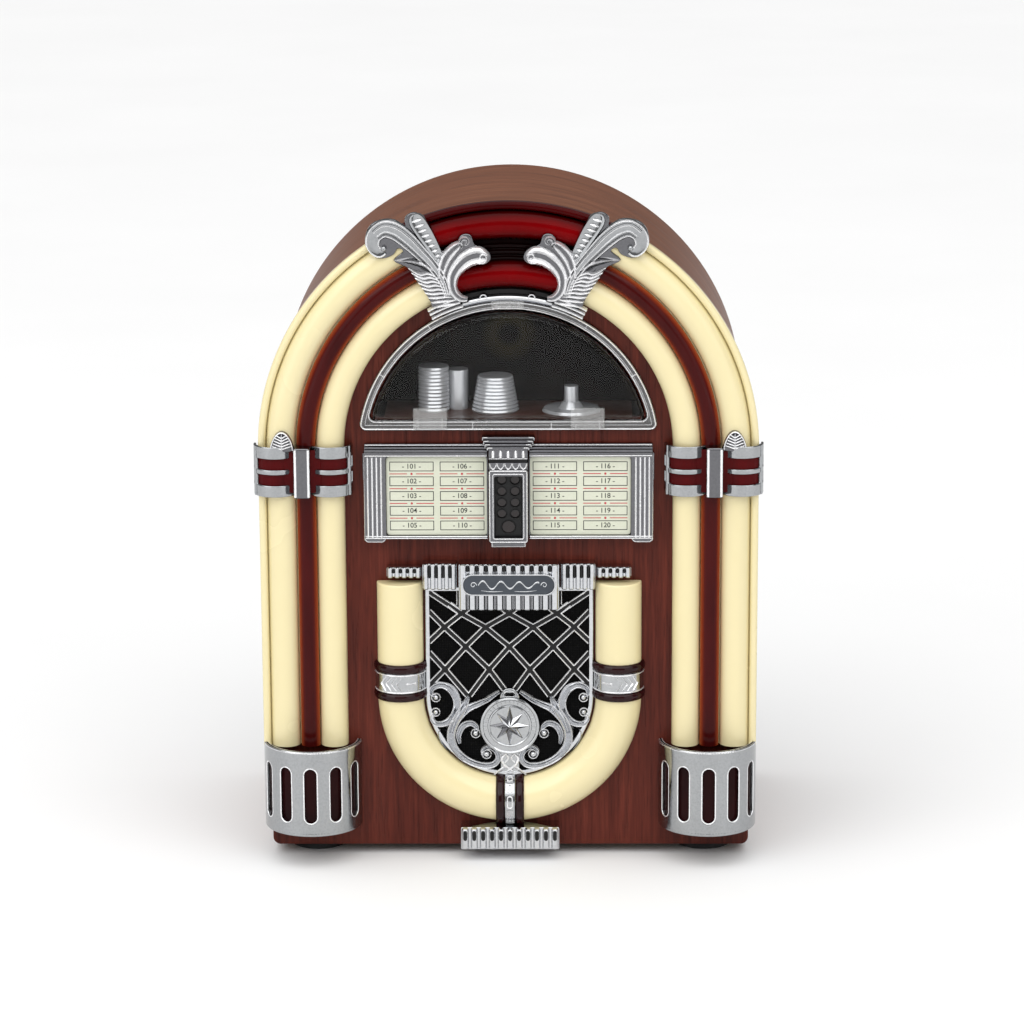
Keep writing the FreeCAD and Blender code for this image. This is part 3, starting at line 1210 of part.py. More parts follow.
def make_main_board():
    """Amplifier board on four posts above the base, with a heat sink, a transformer coil and capacitors."""
    low = "foot_tall + base_thick"
    parts = [box("main_plate", ("86", "40", "1.6"), ("-110", "-52", f"{low} + 6"))]
    for x in ("-105", "-29"):
        for y in ("-48", "-16"):
            parts.append(cylinder("post", "2.6", "6.2", (x, y, low)))
    parts.append(box("heat_sink", ("26", "6", "22"), ("-100", "-24", f"{low} + 7.4")))
    parts.append(cylinder("big_capacitor", "6.5", "20", ("-58", "-34", f"{low} + 7.4")))
    parts.append(cylinder("small_capacitor", "4.2", "12", ("-42", "-34", f"{low} + 7.4")))
    parts.append(box("tuner_can", ("12", "12", "13"), ("-82", "-48", f"{low} + 7.4")))
    return node("main_board", fuse("main_board", *parts))


def make_battery_tray():
    """Open box behind the rear panel's opening."""
    outside = box("tray_box", ("battery_wide + 3.6", "battery_deep + 1.8", "battery_tall + 3.6"),
                  ("-battery_wide/2 - 1.8", f"{REAR_IN} - battery_deep - 1.8", "battery_low - 1.8"))
    inside = box("tray_room", ("battery_wide", "battery_deep + 5", "battery_tall"),
                 ("-battery_wide/2", f"{REAR_IN} - battery_deep", "battery_low"))
    return node("battery_tray", cut("battery_tray", outside, inside))


def make_battery_door():
    """Door in the rear panel's opening, hung from moulded pins at its top edge."""
    gap = "door_gap"
    plate = box("door_plate", (f"battery_wide - 2*{gap}", "3", f"battery_tall - 2*{gap}"),
                (f"-battery_wide/2 + {gap}", f"{REAR_OUT} - 3.4", f"battery_low + {gap}"))
    wide = f"2*({HINGE_HALF})"
    root = box("door_root", (wide, "1.2", "1.4"),
               (f"-({HINGE_HALF})", f"{REAR_OUT} - 0.6", f"{DOOR_TOP} - 1.4"))
    arm = box("door_arm", (wide, "hinge_out - 0.3", "2.4"),
              (f"-({HINGE_HALF})", f"{REAR_OUT} + 0.3", f"{DOOR_TOP} - 1.4"))
    barrel = cylinder("door_barrel", "hinge_round", wide, (f"-({HINGE_HALF})", HINGE_Y, HINGE_Z), SIDEWAYS)
    pins = cylinder("door_pins", "1.0", f"{wide} + 14", (f"-({HINGE_HALF}) - 7", HINGE_Y, HINGE_Z),
                    SIDEWAYS)
    grip = box("door_grip", ("26", "1.6", "3"), ("-13", f"{REAR_OUT} - 0.4", "battery_low + 6"))
    return node("battery_door", fuse("battery_door", plate, root, arm, barrel, pins, grip))


def make_dc_jack():
    """Power socket in the rear panel: a bush with a blind bore, on a small block inside."""
    x = "jack_x"
    bush = cylinder("jack_bush", "jack_round + 2.2", "rear_thick + 1", (x, f"{REAR_OUT} + 1", "jack_z"),
                    INTO_FACE)
    block = box("jack_block", ("11", "12", "11"), (f"{x} - 5.5", f"{REAR_IN} - 12", "jack_z - 5.5"))
    bore = cylinder("jack_bore", "jack_round", "jack_deep", (x, f"{REAR_OUT} + 1", "jack_z"), INTO_FACE)
    return node("dc_jack", cut("dc_jack", fuse("jack_whole", bush, block), bore))


# ---------------------------------------------------------------- aerial
MAST_Y = "back_y + aerial_out"


def make_aerial():
    """Telescopic aerial on the rear panel: a post that turns, a fork that tilts, and three tubes."""
    post_y = REAR_OUT
    bracket = cylinder("bracket_disc", "9", "2.6", ("aerial_x", f"{post_y} + 2.6", "aerial_z"), INTO_FACE)
    bolt = cylinder("bracket_bolt", "3.0", "6.6", ("aerial_x", f"{post_y} + 2.6", "aerial_z"), INTO_FACE)
    hole = cylinder("bracket_hole", "2.05", "20", ("aerial_x", f"{post_y} + 6", "aerial_z"), INTO_FACE)
    node("aerial_bracket", cut("aerial_bracket", fuse("bracket_whole", bracket, bolt), hole))
    disc = cylinder("swivel_disc", "swivel_round", "4", ("aerial_x", f"{post_y} + 6.9", "aerial_z"),
                    INTO_FACE)
    spigot = cylinder("swivel_spigot", "2.0", "9", ("aerial_x", f"{post_y} + 6.9", "aerial_z"), INTO_FACE)
    cheeks = [box("swivel_cheek", ("2", f"{MAST_Y} - ({post_y}) - 2", "8"),
                  (f"aerial_x + {side}", f"{post_y} + 6", "aerial_z - 4")) for side in ("2.6", "-4.6")]
    pivot = cylinder("swivel_pivot", "1.4", "9.2", ("aerial_x - 4.6", MAST_Y, "aerial_z"), SIDEWAYS)
    node("aerial_swivel", fuse("aerial_swivel", disc, spigot, pivot, *cheeks))
    lug = box("mast_lug", ("5", "6.4", "10"), ("aerial_x - 2.5", f"{MAST_Y} - 3.2", "aerial_z - 3.2"))
    collar = cylinder("mast_collar", "collar_round", "4", ("aerial_x", MAST_Y, "aerial_z + 6.6"))
    tube = cylinder("mast_tube", "mast_round", "mast_tall - 6.6", ("aerial_x", MAST_Y, "aerial_z + 6.6"))
    bore = cylinder("mast_bore", "mast_round - 0.7", "mast_tall", ("aerial_x", MAST_Y, "aerial_z + 10.6"))
    eye = cylinder("mast_eye", "1.45", "12", ("aerial_x - 6", MAST_Y, "aerial_z"), SIDEWAYS)
    node("aerial_mast", cut("aerial_mast", fuse("mast_whole", lug, collar, tube), bore, eye))
    middle = cylinder("middle_tube", "mast_round - 0.8", "mast_tall - 9",
                      ("aerial_x", MAST_Y, "aerial_z + 11.2"))
    middle_bore = cylinder("middle_bore", "mast_round - 1.5", "mast_tall",
                           ("aerial_x", MAST_Y, "aerial_z + 12.2"))
    node("aerial_middle", cut("aerial_middle", middle, middle_bore))
    rod = cylinder("tip_rod", "mast_round - 1.6", "mast_tall - 7.6",
                   ("aerial_x", MAST_Y, "aerial_z + 12.6"))
    button = cylinder("tip_button", "mast_round + 0.4", "3.4",
                      ("aerial_x", MAST_Y, "aerial_z + mast_tall + 5"))
    node("aerial_tip", fuse("aerial_tip", rod, button))


# ---------------------------------------------------------------- build, check and write
BUILDERS = (
    make_cabinet_shell, make_front_panel, make_base_board, make_rubber_feet, make_rear_panel, make_rear_screws,
    make_column_diffuser, make_column_rods, make_crown_lens, make_crown_rail, make_scroll_ornament,
    make_ferrule, make_shoe, make_window, make_display, make_title_holders, make_title_cards, make_selector,
    make_grille_header, make_grille_cloth, make_medallion, make_grille_lattice, make_tubes,
    make_base_badge, make_speaker, make_control_panel, make_control_board, make_arch_lamps, make_main_board,
    make_battery_tray, make_battery_door, make_dc_jack, make_aerial,
)


def build():
    for builder in BUILDERS:
        builder()
    make_knob("tuning_knob", "tuning_radius", "tuning_z", 30)
    make_knob("volume_knob", "volume_radius", "volume_z", 20)
    for name, y in zip(("band_switch", "lamp_switch"), switch_rows()):
        make_slide_switch(name, y)
    doc.recompute()


def check():
    """Stops if any object failed or any sub-part has no valid solid."""
    failed = [o.Name for o in doc.Objects if "Invalid" in o.State or "Error" in o.State]
    for name, thing in NODES.items():
        if thing.Shape.isNull() or not thing.Shape.isValid() or not thing.Shape.Solids:
            failed.append(name)
    if failed:
        raise RuntimeError(f"failed: {failed}")


def write():
    os.makedirs("parts", exist_ok=True)
    for name, thing in NODES.items():
        thing.Shape.exportStep(f"parts/{name}.step")
    print(f"{len(NODES)} sub-parts written")


build()
check()
write()
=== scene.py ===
"""Looks of a tabletop jukebox radio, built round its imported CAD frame.

Lengths are in millimetres until a mesh is made.
"""
import math

import bmesh
import bpy
import numpy as np
from mathutils import Matrix, Vector
from mathutils.geometry import delaunay_2d_cdt


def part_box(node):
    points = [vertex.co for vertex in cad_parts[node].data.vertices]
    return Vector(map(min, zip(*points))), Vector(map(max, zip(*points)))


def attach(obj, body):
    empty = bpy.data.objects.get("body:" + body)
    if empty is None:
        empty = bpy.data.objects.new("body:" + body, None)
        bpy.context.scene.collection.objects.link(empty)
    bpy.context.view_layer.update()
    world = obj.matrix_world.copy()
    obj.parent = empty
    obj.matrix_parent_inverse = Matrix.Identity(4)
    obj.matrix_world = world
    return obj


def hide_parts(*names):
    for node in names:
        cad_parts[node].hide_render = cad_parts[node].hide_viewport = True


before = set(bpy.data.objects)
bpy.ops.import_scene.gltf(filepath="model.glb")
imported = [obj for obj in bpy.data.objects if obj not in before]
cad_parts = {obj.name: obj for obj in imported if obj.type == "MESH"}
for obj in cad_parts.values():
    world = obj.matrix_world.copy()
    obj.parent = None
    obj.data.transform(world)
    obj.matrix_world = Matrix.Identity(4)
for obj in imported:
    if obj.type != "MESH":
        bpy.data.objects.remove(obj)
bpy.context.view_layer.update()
MM = 0.001


class Room:
    """A CAD node's box in millimetres."""

    def __init__(self, name):
        low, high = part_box(name)
        self.x0, self.y0, self.z0 = (v / MM for v in low)
        self.x1, self.y1, self.z1 = (v / MM for v in high)


SHELL = Room("cabinet_shell")
PANEL = Room("front_panel")
FACE = PANEL.y0                               # the front panel's face
HALF = SHELL.x1                               # half the cabinet's width, and the arch's radius
ARC_Z = SHELL.z1 - HALF                       # height of the arch's centre
TRIM_OUT = Room("column_diffuser_right").x1
BEZEL = Room("window_bezel")
COVER = Room("window_cover")
TUBE = Room("upper_tubes")
TUBE_R = FACE - TUBE.y0                       # radius of the cream tube round the grille
TUBE_X = TUBE.x1 - TUBE_R                     # its centre line's distance from the middle
TUBE_Z = Room("lower_tubes").z0 + TUBE_R + TUBE_X
MEDAL_Z = 73.0                                # height of the medallion's centre, as in the CAD
COLUMN_LOW = Room("column_diffuser_right").z0


# ---------------------------------------------------------------- mesh building
def on_face(x, z, h):
    """A point above the front panel: h is how far it stands out."""
    return (x, FACE - h, z)


def mirrored(points):
    return [(-p[0],) + tuple(p[1:]) for p in points]


class Shape:
    """Vertices and faces gathered from several pieces, in millimetres."""

    def __init__(self):
        self.verts, self.faces, self.marks = [], [], {}

    def add(self, verts, faces):
        base = len(self.verts)
        self.verts += [tuple(v) for v in verts]
        self.faces += [tuple(base + i for i in face) for face in faces]
        return base

    def rows(self, rows, around=False, caps=False, mark=None):
        """A skin over equal rows of points. around joins each row's end to its start; caps shut the ends."""
        wide = len(rows[0])
        faces = []
        for i in range(len(rows) - 1):
            for j in range(wide if around else wide - 1):
                k = (j + 1) % wide
                faces.append((i * wide + j, i * wide + k, (i + 1) * wide + k, (i + 1) * wide + j))
        if caps:
            faces.append(tuple(range(wide))[::-1])
            faces.append(tuple((len(rows) - 1) * wide + j for j in range(wide)))
        base = self.add([p for row in rows for p in row], faces)
        if mark:
            for index, value in enumerate(mark * len(rows)):
                self.marks[base + index] = value

    def mirror(self):
        """A copy of everything so far on the other side of the middle."""
        marks = {i + len(self.verts): v for i, v in self.marks.items()}
        self.add(mirrored(self.verts), [face[::-1] for face in self.faces])
        self.marks.update(marks)
        return self

    def make(self, name, material, slot, *nodes, body="cabinet", sharp=38, uv=None):
        """The finished object, standing for those CAD nodes."""
        mesh = bpy.data.meshes.new(name)
        mesh.from_pydata([Vector(v) * MM for v in self.verts], [], self.faces)
        if self.marks:
            layer = mesh.attributes.new("mark", "FLOAT", "POINT")
            layer.data.foreach_set("value", [self.marks.get(i, 0.0) for i in range(len(self.verts))])
        if uv:
            layer = mesh.uv_layers.new(name="grain")
            for loop in mesh.loops:
                layer.data[loop.index].uv = uv(*self.verts[loop.vertex_index])
        tidy_mesh(mesh, sharp)
        thing = bpy.data.objects.new(name, mesh)
        bpy.context.scene.collection.objects.link(thing)
        mesh.materials.append(material)
        thing.modifiers.new("normals", "WEIGHTED_NORMAL").keep_sharp = True
        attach(thing, body)
        if nodes:
            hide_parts(*nodes)
        return thing


def tidy_mesh(mesh, sharp):
    """Welds doubled points, turns the faces outwards and shades smooth up to that angle."""
    bm = bmesh.new()
    bm.from_mesh(mesh)
    bmesh.ops.remove_doubles(bm, verts=bm.verts, dist=0.004 * MM)
    bmesh.ops.dissolve_degenerate(bm, edges=bm.edges, dist=0.002 * MM)
    bmesh.ops.recalc_face_normals(bm, faces=bm.faces)
    bm.to_mesh(mesh)
    bm.free()
    mesh.shade_smooth()
    mesh.set_sharp_from_angle(angle=math.radians(sharp))


def arc(x, z, radius, start, end, count):
    """Points on a circle, from one angle to another in degrees."""
    turns = [math.radians(start + (end - start) * i / count) for i in range(count + 1)]
    return [(x + radius * math.cos(a), z + radius * math.sin(a)) for a in turns]


def round_box(x0, z0, x1, z1, corner, count=5):
    """Outline of a rectangle with round corners."""
    c = corner
    return (arc(x1 - c, z1 - c, c, 0, 90, count) + arc(x0 + c, z1 - c, c, 90, 180, count)
            + arc(x0 + c, z0 + c, c, 180, 270, count) + arc(x1 - c, z0 + c, c, 270, 360, count))


def lunette(radius, low, corner, count=72):
    """Outline of the disc round the arch's centre above a level line, its two corners rounded."""
    z = low + corner
    x = math.sqrt((radius - corner) ** 2 - (z - ARC_Z) ** 2)
    lean = math.degrees(math.atan2(z - ARC_Z, x))
    return (arc(x, z, corner, -90, lean, 8) + arc(0, ARC_Z, radius, lean, 180 - lean, count)
            + arc(-x, z, corner, 180 - lean, 270, 8))


def dense(loop, step):
    """The same closed line with no gap between points wider than step."""
    out = []
    for a, b in zip(loop, loop[1:] + loop[:1]):
        parts = max(1, math.ceil(math.dist(a, b) / step))
        out += [(a[0] + (b[0] - a[0]) * i / parts, a[1] + (b[1] - a[1]) * i / parts) for i in range(parts)]
    return out


def clean(loop):
    """Drops points that lie on the one before, and turns the loop anticlockwise."""
    out = [p for p, q in zip(loop, loop[-1:] + loop[:-1]) if math.dist(p, q) > 1e-4]
    area = sum(p[0] * q[1] - q[0] * p[1] for p, q in zip(out, out[1:] + out[:1]))
    return out if area > 0 else out[::-1]


def inset(loop, distance):
    """The loop moved to its left by a distance."""
    out = []
    for a, b, c in zip(loop[-1:] + loop[:-1], loop, loop[1:] + loop[:1]):
        u = Vector((b[0] - a[0], b[1] - a[1])).normalized()
        v = Vector((c[0] - b[0], c[1] - b[1])).normalized()
        left = Vector((-u.y, u.x))
        mid = left + Vector((-v.y, v.x))
        mid = mid.normalized() if mid.length > 1e-6 else left
        reach = distance / max(0.4, mid.dot(left))
        out.append((b[0] + mid.x * reach, b[1] + mid.y * reach))
    return out


def inside(points, loop):
    """Which of the points lie inside a closed line."""
    x, y = points[:, 0], points[:, 1]
    hit = np.zeros(len(points), bool)
    for (x0, y0), (x1, y1) in zip(loop, loop[1:] + loop[:1]):
        if y0 != y1:
            crosses = ((y0 > y) != (y1 > y)) & (x < (x1 - x0) * (y - y0) / (y1 - y0) + x0)
            hit ^= crosses
    return hit


def fill(shape, loops, height, put, pitch):
    """Triangles between an outline and its holes, with inner points every pitch where the surface bends."""
    points, edges = [], []
    for loop in loops:
        base = len(points)
        points += loop
        edges += [(base + i, base + (i + 1) % len(loop)) for i in range(len(loop))]
    if pitch:
        xs, zs = [p[0] for p in loops[0]], [p[1] for p in loops[0]]
        across = max(1, round((max(xs) - min(xs)) / pitch))
        up = max(1, round((max(zs) - min(zs)) / pitch))
        grid = np.array([(min(xs) + (max(xs) - min(xs)) * i / across, min(zs) + (max(zs) - min(zs)) * j / up)
                for i in range(1, across) for j in range(1, up)]).reshape(-1, 2)
        keep = inside(grid, inset(loops[0], 0.3 * pitch))
        for hole in loops[1:]:
            keep &= ~inside(grid, inset(hole, 0.3 * pitch))
        points += [tuple(p) for p in grid[keep]]
    verts, _, faces, *_ = delaunay_2d_cdt([Vector(p) for p in points], edges, [], 0, 1e-5)
    centres = np.array([[sum(verts[i][k] for i in face) / len(face) for k in (0, 1)] for face in faces])
    keep = inside(centres, loops[0])
    for hole in loops[1:]:
        keep &= ~inside(centres, hole)
    shape.add([put(v[0], v[1], height) for v in verts], [face for face, ok in zip(faces, keep) if ok])


def plate(shape, loops, low, high, rim, put=on_face, pitch=None, steps=3, back=True):
    """A flat piece with rounded front edges: outline first, then its holes. put bends it into place."""
    turned = [clean(loop) if i == 0 else clean(loop)[::-1] for i, loop in enumerate(loops)]
    tops = []
    for loop in turned:
        stack = [(loop, low)]
        for step in range(steps + 1):
            a = math.pi / 2 * step / steps
            stack.append((inset(loop, rim * (1 - math.cos(a))), high - rim * (1 - math.sin(a))))
        shape.rows([[put(p[0], p[1], h) for p in line] for line, h in stack], around=True)
        tops.append(stack[-1][0])
    fill(shape, tops, high, put, pitch)
    if back:
        fill(shape, turned, low, put, pitch)


def smooth_path(points, per=6):
    """A Catmull-Rom curve through points with any number of values each."""
    out = []
    for i in range(len(points) - 1):
        p0, p1, p2 = points[max(0, i - 1)], points[i], points[i + 1]
        p3 = points[min(len(points) - 1, i + 2)]
        for step in range(per):
            t = step / per
            out.append(tuple(0.5 * (2 * b + (c - a) * t + (2 * a - 5 * b + 4 * c - d) * t * t
                    + (3 * b - a - 3 * c + d) * t ** 3) for a, b, c, d in zip(p0, p1, p2, p3)))
    out.append(tuple(points[-1]))
    return out


ROUND = [(math.cos(math.radians(a)), math.sin(math.radians(a))) for a in range(180, -1, -20)]
TWIN = [(-1, 0), (-1, 0.5), (-0.86, 0.85), (-0.66, 1), (-0.44, 0.86), (-0.24, 0.55), (0, 0.42), (0.24, 0.55),
        (0.44, 0.86), (0.66, 1), (0.86, 0.85), (1, 0.5), (1, 0)]
KEEL = [(-1, 0), (-0.98, 0.25), (-0.6, 0.42), (-0.2, 0.8), (0, 1), (0.2, 0.8), (0.6, 0.42), (0.98, 0.25),
        (1, 0)]


def ridge(shape, path, section=ROUND, base=0.0, per=6, put=on_face):
    """A raised line on the front through (x, z, half width, height) points, with that cross section."""
    line = smooth_path([tuple(p) for p in path], per) if per else [tuple(p) for p in path]
    rows = []
    for i, (x, z, wide, tall) in enumerate(line):
        a, b = line[max(0, i - 1)], line[min(len(line) - 1, i + 1)]
        along = Vector((b[0] - a[0], b[1] - a[1]))
        along = along.normalized() if along.length > 1e-9 else Vector((0, 1))
        rows.append([put(x - along.y * s * wide, z + along.x * s * wide, base + h * tall) for s,
                h in section])
    shape.rows(rows, around=True, caps=True)


def stroke(shape, points, half, tall, base, put=on_face):
    """A raised line of even width and height through (x, z) points."""
    ridge(shape, [(x, z, half, tall) for x, z in points], ROUND, base, 0, put)


def edge_lines(shape, path, share, half, rise, base, per):
    """Raised lines along both sides of a ridge, that share of its half width from its middle."""
    line = smooth_path([tuple(p) for p in path], per)
    for way in (share, -share):
        rim = []
        for before, here, after in zip(line, line[1:], line[2:]):
            along = Vector((after[0] - before[0], after[1] - before[1])).normalized()
            rim.append((here[0] - along.y * here[2] * way, here[1] + along.x * here[2] * way, half, here[3]
                    + rise))
        ridge(shape, rim, ROUND, base, 0)


def ball(shape, x, z, h, radius, flat=1.0, count=10):
    """A bead on the front."""
    rows = []
    for i in range(count // 2 + 1):
        a = math.pi * i / (count // 2)
        ring = max(1e-3, math.sin(a)) * radius
        rows.append([on_face(x + ring * math.cos(t), z + ring * math.sin(t), h + flat * radius * math.cos(a))
                for t in (2 * math.pi * j / count for j in range(count))])
    shape.rows(rows, around=True, caps=True)


def revolve(shape, profile, put, count):
    """Turns (radius, height) points about an axis; put(a, b, h) places the turned point."""
    turns = [math.radians(360 * i / count) for i in range(count)]
    rows = [[put(r * math.cos(a), r * math.sin(a), h) for a in turns] for r, h in profile]
    shape.rows(rows, around=True)


def half_round(mid, height, radius, start=0, end=180, count=14):
    """Cross section of a lobe: (radius from the arch's centre, height) from its outer side in."""
    return [(mid + radius * math.cos(math.radians(a)), height + radius * math.sin(math.radians(a)))
            for a in (start + (end - start) * i / count for i in range(count + 1))]


def column_rows(section, low, until, step=1.5):
    """Rows of a section run up the right-hand column and round the arch to an angle."""
    rows = [[on_face(r, z, h) for r, h in section] for z in np.linspace(low, ARC_Z, 24)]
    return rows + swept(section, np.linspace(0, until, int(until / step) + 1)[1:])


def arch_rows(section, start, end, step=0.8):
    """Rows of a section run round part of the arch."""
    return swept(section, np.linspace(start, end, int(abs(end - start) / step) + 2))


def swept(section, angles):
    """One row of a section at each angle round the arch's centre."""
    rows = []
    for a in angles:
        c, s = math.cos(math.radians(a)), math.sin(math.radians(a))
        rows.append([on_face(r * c, ARC_Z + r * s, h) for r, h in section])
    return rows


# ---------------------------------------------------------------- materials
def srgb(r, g, b):
    """A colour given as on a screen, 0 to 255, in linear light."""
    return tuple(c / 12.92 if c <= 0.04045 else ((c + 0.055) / 1.055) ** 2.4
            for c in (r / 255, g / 255, b / 255)) + (1,)


NOISE_SPREAD = (0.3, 0.7)                      # where nearly all of a noise texture's values lie


class Finish:
    """A procedural material on one Principled shader."""

    def __init__(self, name, **values):
        self.material = bpy.data.materials.new(name)
        self.material.use_nodes = True
        self.nodes, self.links = self.material.node_tree.nodes, self.material.node_tree.links
        self.shader = self.nodes["Principled BSDF"]
        for key, value in values.items():
            self.shader.inputs[key.replace("_", " ")].default_value = value
        self.normal = None

    def node(self, kind, inputs=(), **settings):
        made = self.nodes.new(kind)
        for key, value in settings.items():
            setattr(made, key, value)
        self.fill_in(made, dict(inputs))
        return made

    def fill_in(self, made, inputs):
        """Links or sets each input, by its name or number."""
        for key, value in inputs.items():
            if isinstance(value, bpy.types.NodeSocket):
                self.links.new(value, made.inputs[key])
            else:
                made.inputs[key].default_value = value

    def place(self, stretch=(1, 1, 1), source="Object"):
        """Texture coordinates in metres, stretched along the axes."""
        coords = self.node("ShaderNodeTexCoord").outputs[source]
        return self.node("ShaderNodeMapping", {"Vector": coords, "Scale": stretch}).outputs["Vector"]

    def noise(self, place, scale, detail=4, rough=0.55, bend=0.0):
        return self.node("ShaderNodeTexNoise", {"Vector": place, "Scale": scale, "Detail": detail,
                "Roughness": rough, "Distortion": bend}).outputs["Fac"]

    def ramp(self, value, *stops):
        """Colours at places along a value."""
        made = self.node("ShaderNodeValToRGB", {"Fac": value})
        points = made.color_ramp.elements
        while len(points) < len(stops):
            points.new(0.5)
        for point, (at, colour) in zip(points, stops):
            point.position = at
            point.color = colour if len(colour) == 4 else colour + (1,)
        return made.outputs["Color"]

    def between(self, value, low, high, out_low, out_high):
        return self.node("ShaderNodeMapRange", {"Value": value, "From Min": low, "From Max": high,
                "To Min": out_low, "To Max": out_high}).outputs["Result"]

    def mix(self, factor, a, b):
        made = self.node("ShaderNodeMix", data_type="RGBA")
        self.fill_in(made, {0: factor, 6: a, 7: b})
        return made.outputs[2]

    def maths(self, how, a, b):
        made = self.node("ShaderNodeMath", operation=how)
        self.fill_in(made, {0: a, 1: b})
        return made.outputs[0]

    def mark(self):
        return self.node("ShaderNodeAttribute", attribute_name="mark").outputs["Fac"]

    def set(self, key, value):
        self.links.new(value, self.shader.inputs[key])

    def gloss(self, value, smooth, rough):
        """Roughness that follows a noise through its usual spread."""
        self.set("Roughness", self.between(value, *NOISE_SPREAD, smooth, rough))

    def bump(self, height, strength, distance):
        inputs = {"Height": height, "Strength": strength, "Distance": distance}
        if self.normal:
            inputs["Normal"] = self.normal
        self.normal = self.node("ShaderNodeBump", inputs).outputs["Normal"]
        self.set("Normal", self.normal)


def wood(name, grain, source="Object", dark=srgb(50, 16, 10), mid=srgb(80, 31, 22), pale=srgb(104, 46, 34),
        rough=0.3):
    """Stained and lacquered veneer. grain squeezes the pattern along the grain's direction."""
    finish = Finish(name, Coat_Weight=0.05, Coat_Roughness=0.2, Specular_IOR_Level=0.12)
    place = finish.place(grain, source)
    figure = finish.noise(place, 38, 5, 0.6, 0.6)
    streaks = finish.noise(place, 420, 3, 0.6)
    pores = finish.noise(place, 1500, 2, 0.5)
    tone = finish.ramp(figure, (0.3, dark), (0.5, mid), (0.72, pale))
    tone = finish.mix(0.55, tone, finish.ramp(streaks, (0.32, dark), (0.52, mid), (0.7, pale)))
    pore = finish.between(pores, 0.3, 0.42, 0.0, 1.0)
    finish.set("Base Color", finish.mix(pore, finish.mix(0.5, tone, dark), tone))
    finish.gloss(streaks, rough - 0.05, rough + 0.1)
    finish.bump(streaks, 0.08, 0.0002)
    finish.bump(pore, 0.1, 0.0001)
    return finish.material


def chrome(name="bright_chrome", tint=(0.62, 0.63, 0.65, 1), low=0.05, high=0.14, wave=0.03, metal=1.0):
    """Chrome plating on moulded plastic: faint waves and a little haze."""
    finish = Finish(name, Metallic=metal)
    place = finish.place()
    haze = finish.noise(place, 90, 4)
    specks = finish.noise(place, 900, 2)
    finish.set("Base Color", finish.ramp(specks, (0.25, tuple(c * 0.86 for c in tint[:3])), (0.6, tint)))
    finish.gloss(haze, low, high)
    finish.bump(finish.noise(place, 130, 2), wave, 0.0006)
    return finish.material


def moulded(name, colour, rough=0.4, vary=0.12, grain=2400.0, strength=0.08, **values):
    """Moulded plastic or paint: fine texture, and slight unevenness of shade and gloss."""
    finish = Finish(name, **values)
    place = finish.place()
    cloud = finish.noise(place, 30, 4)
    low = tuple(c * (1 - vary) for c in colour[:3])
    high = tuple(min(1.0, c * (1 + vary)) for c in colour[:3])
    finish.set("Base Color", finish.ramp(cloud, (0.3, low), (0.7, high)))
    finish.gloss(finish.noise(place, 110, 3), rough * 0.8, rough * 1.2)
    finish.bump(finish.noise(place, grain, 2), strength, 0.0001)
    return finish.material


def cream_plastic():
    """Smooth warm diffuser plastic, very slightly cloudy."""
    finish = Finish("cream_diffuser", Coat_Weight=0.3, Coat_Roughness=0.06, Specular_IOR_Level=0.4)
    place = finish.place()
    cloud = finish.noise(place, 14, 3, 0.5)
    fine = finish.noise(place, 90, 3)
    tone = finish.ramp(cloud, (0.3, srgb(225, 212, 166)), (0.7, srgb(227, 214, 169)))
    finish.set("Base Color", finish.mix(0.1, tone, finish.ramp(fine, (0.3, srgb(221, 208, 161)),
            (0.7, srgb(230, 218, 175)))))
    finish.gloss(cloud, 0.24, 0.28)
    finish.bump(finish.noise(place, 40, 1), 0.02, 0.0003)
    return finish.material


def rod_plastic():
    """Clear red rod: deep in the middle, with a painted orange glow along its edges for the cream's light
    shining through.
    """
    finish = Finish("red_rod", Coat_Weight=0.05, Coat_Roughness=0.03, Specular_IOR_Level=0.08)
    edge = finish.mark()
    cloud = finish.noise(finish.place((1, 1, 0.3)), 60, 3)
    deep = finish.ramp(cloud, (0.3, srgb(54, 9, 9)), (0.7, srgb(70, 14, 13)))
    # painted glow: orange rising towards the rod's edges, by the mark across it
    painted_glow = finish.ramp(edge, (0.3, srgb(60, 10, 8)), (0.6, srgb(84, 18, 10)), (0.86, srgb(128, 48, 24)),
            (1.0, srgb(176, 100, 56)))
    finish.set("Base Color", finish.mix(finish.between(edge, 0.35, 0.75, 0.0, 1.0), deep, painted_glow))
    finish.gloss(cloud, 0.08, 0.16)
    finish.bump(finish.noise(finish.place(), 200, 2), 0.02, 0.0003)
    return finish.material


def red_plastic(name, low, high, painted_shade=False, coat=0.03):
    """Glossy deep red. With painted shade turned on, the mark along each lobe paints shade on it: nearly
    black at the lobes' feet and in the channel, up to full red on top.
    """
    finish = Finish(name, Coat_Weight=coat, Coat_Roughness=0.03, Specular_IOR_Level=0.05)
    place = finish.place()
    cloud = finish.noise(place, 24, 4, 0.6)
    tone = finish.ramp(cloud, (0.3, low), (0.72, high))
    if painted_shade:
        # painted shade: the mark takes the red down to nearly black where the lobes meet
        tone = finish.mix(finish.ramp(finish.mark(), (0.0, (0, 0, 0)), (0.45, (0.3, 0.3, 0.3)),
                (1.0, (1, 1, 1))), srgb(12, 1, 1), tone)
    finish.set("Base Color", tone)
    finish.gloss(finish.noise(place, 160, 3), 0.14, 0.26)
    finish.bump(finish.noise(place, 140, 2), 0.04, 0.0004)
    return finish.material


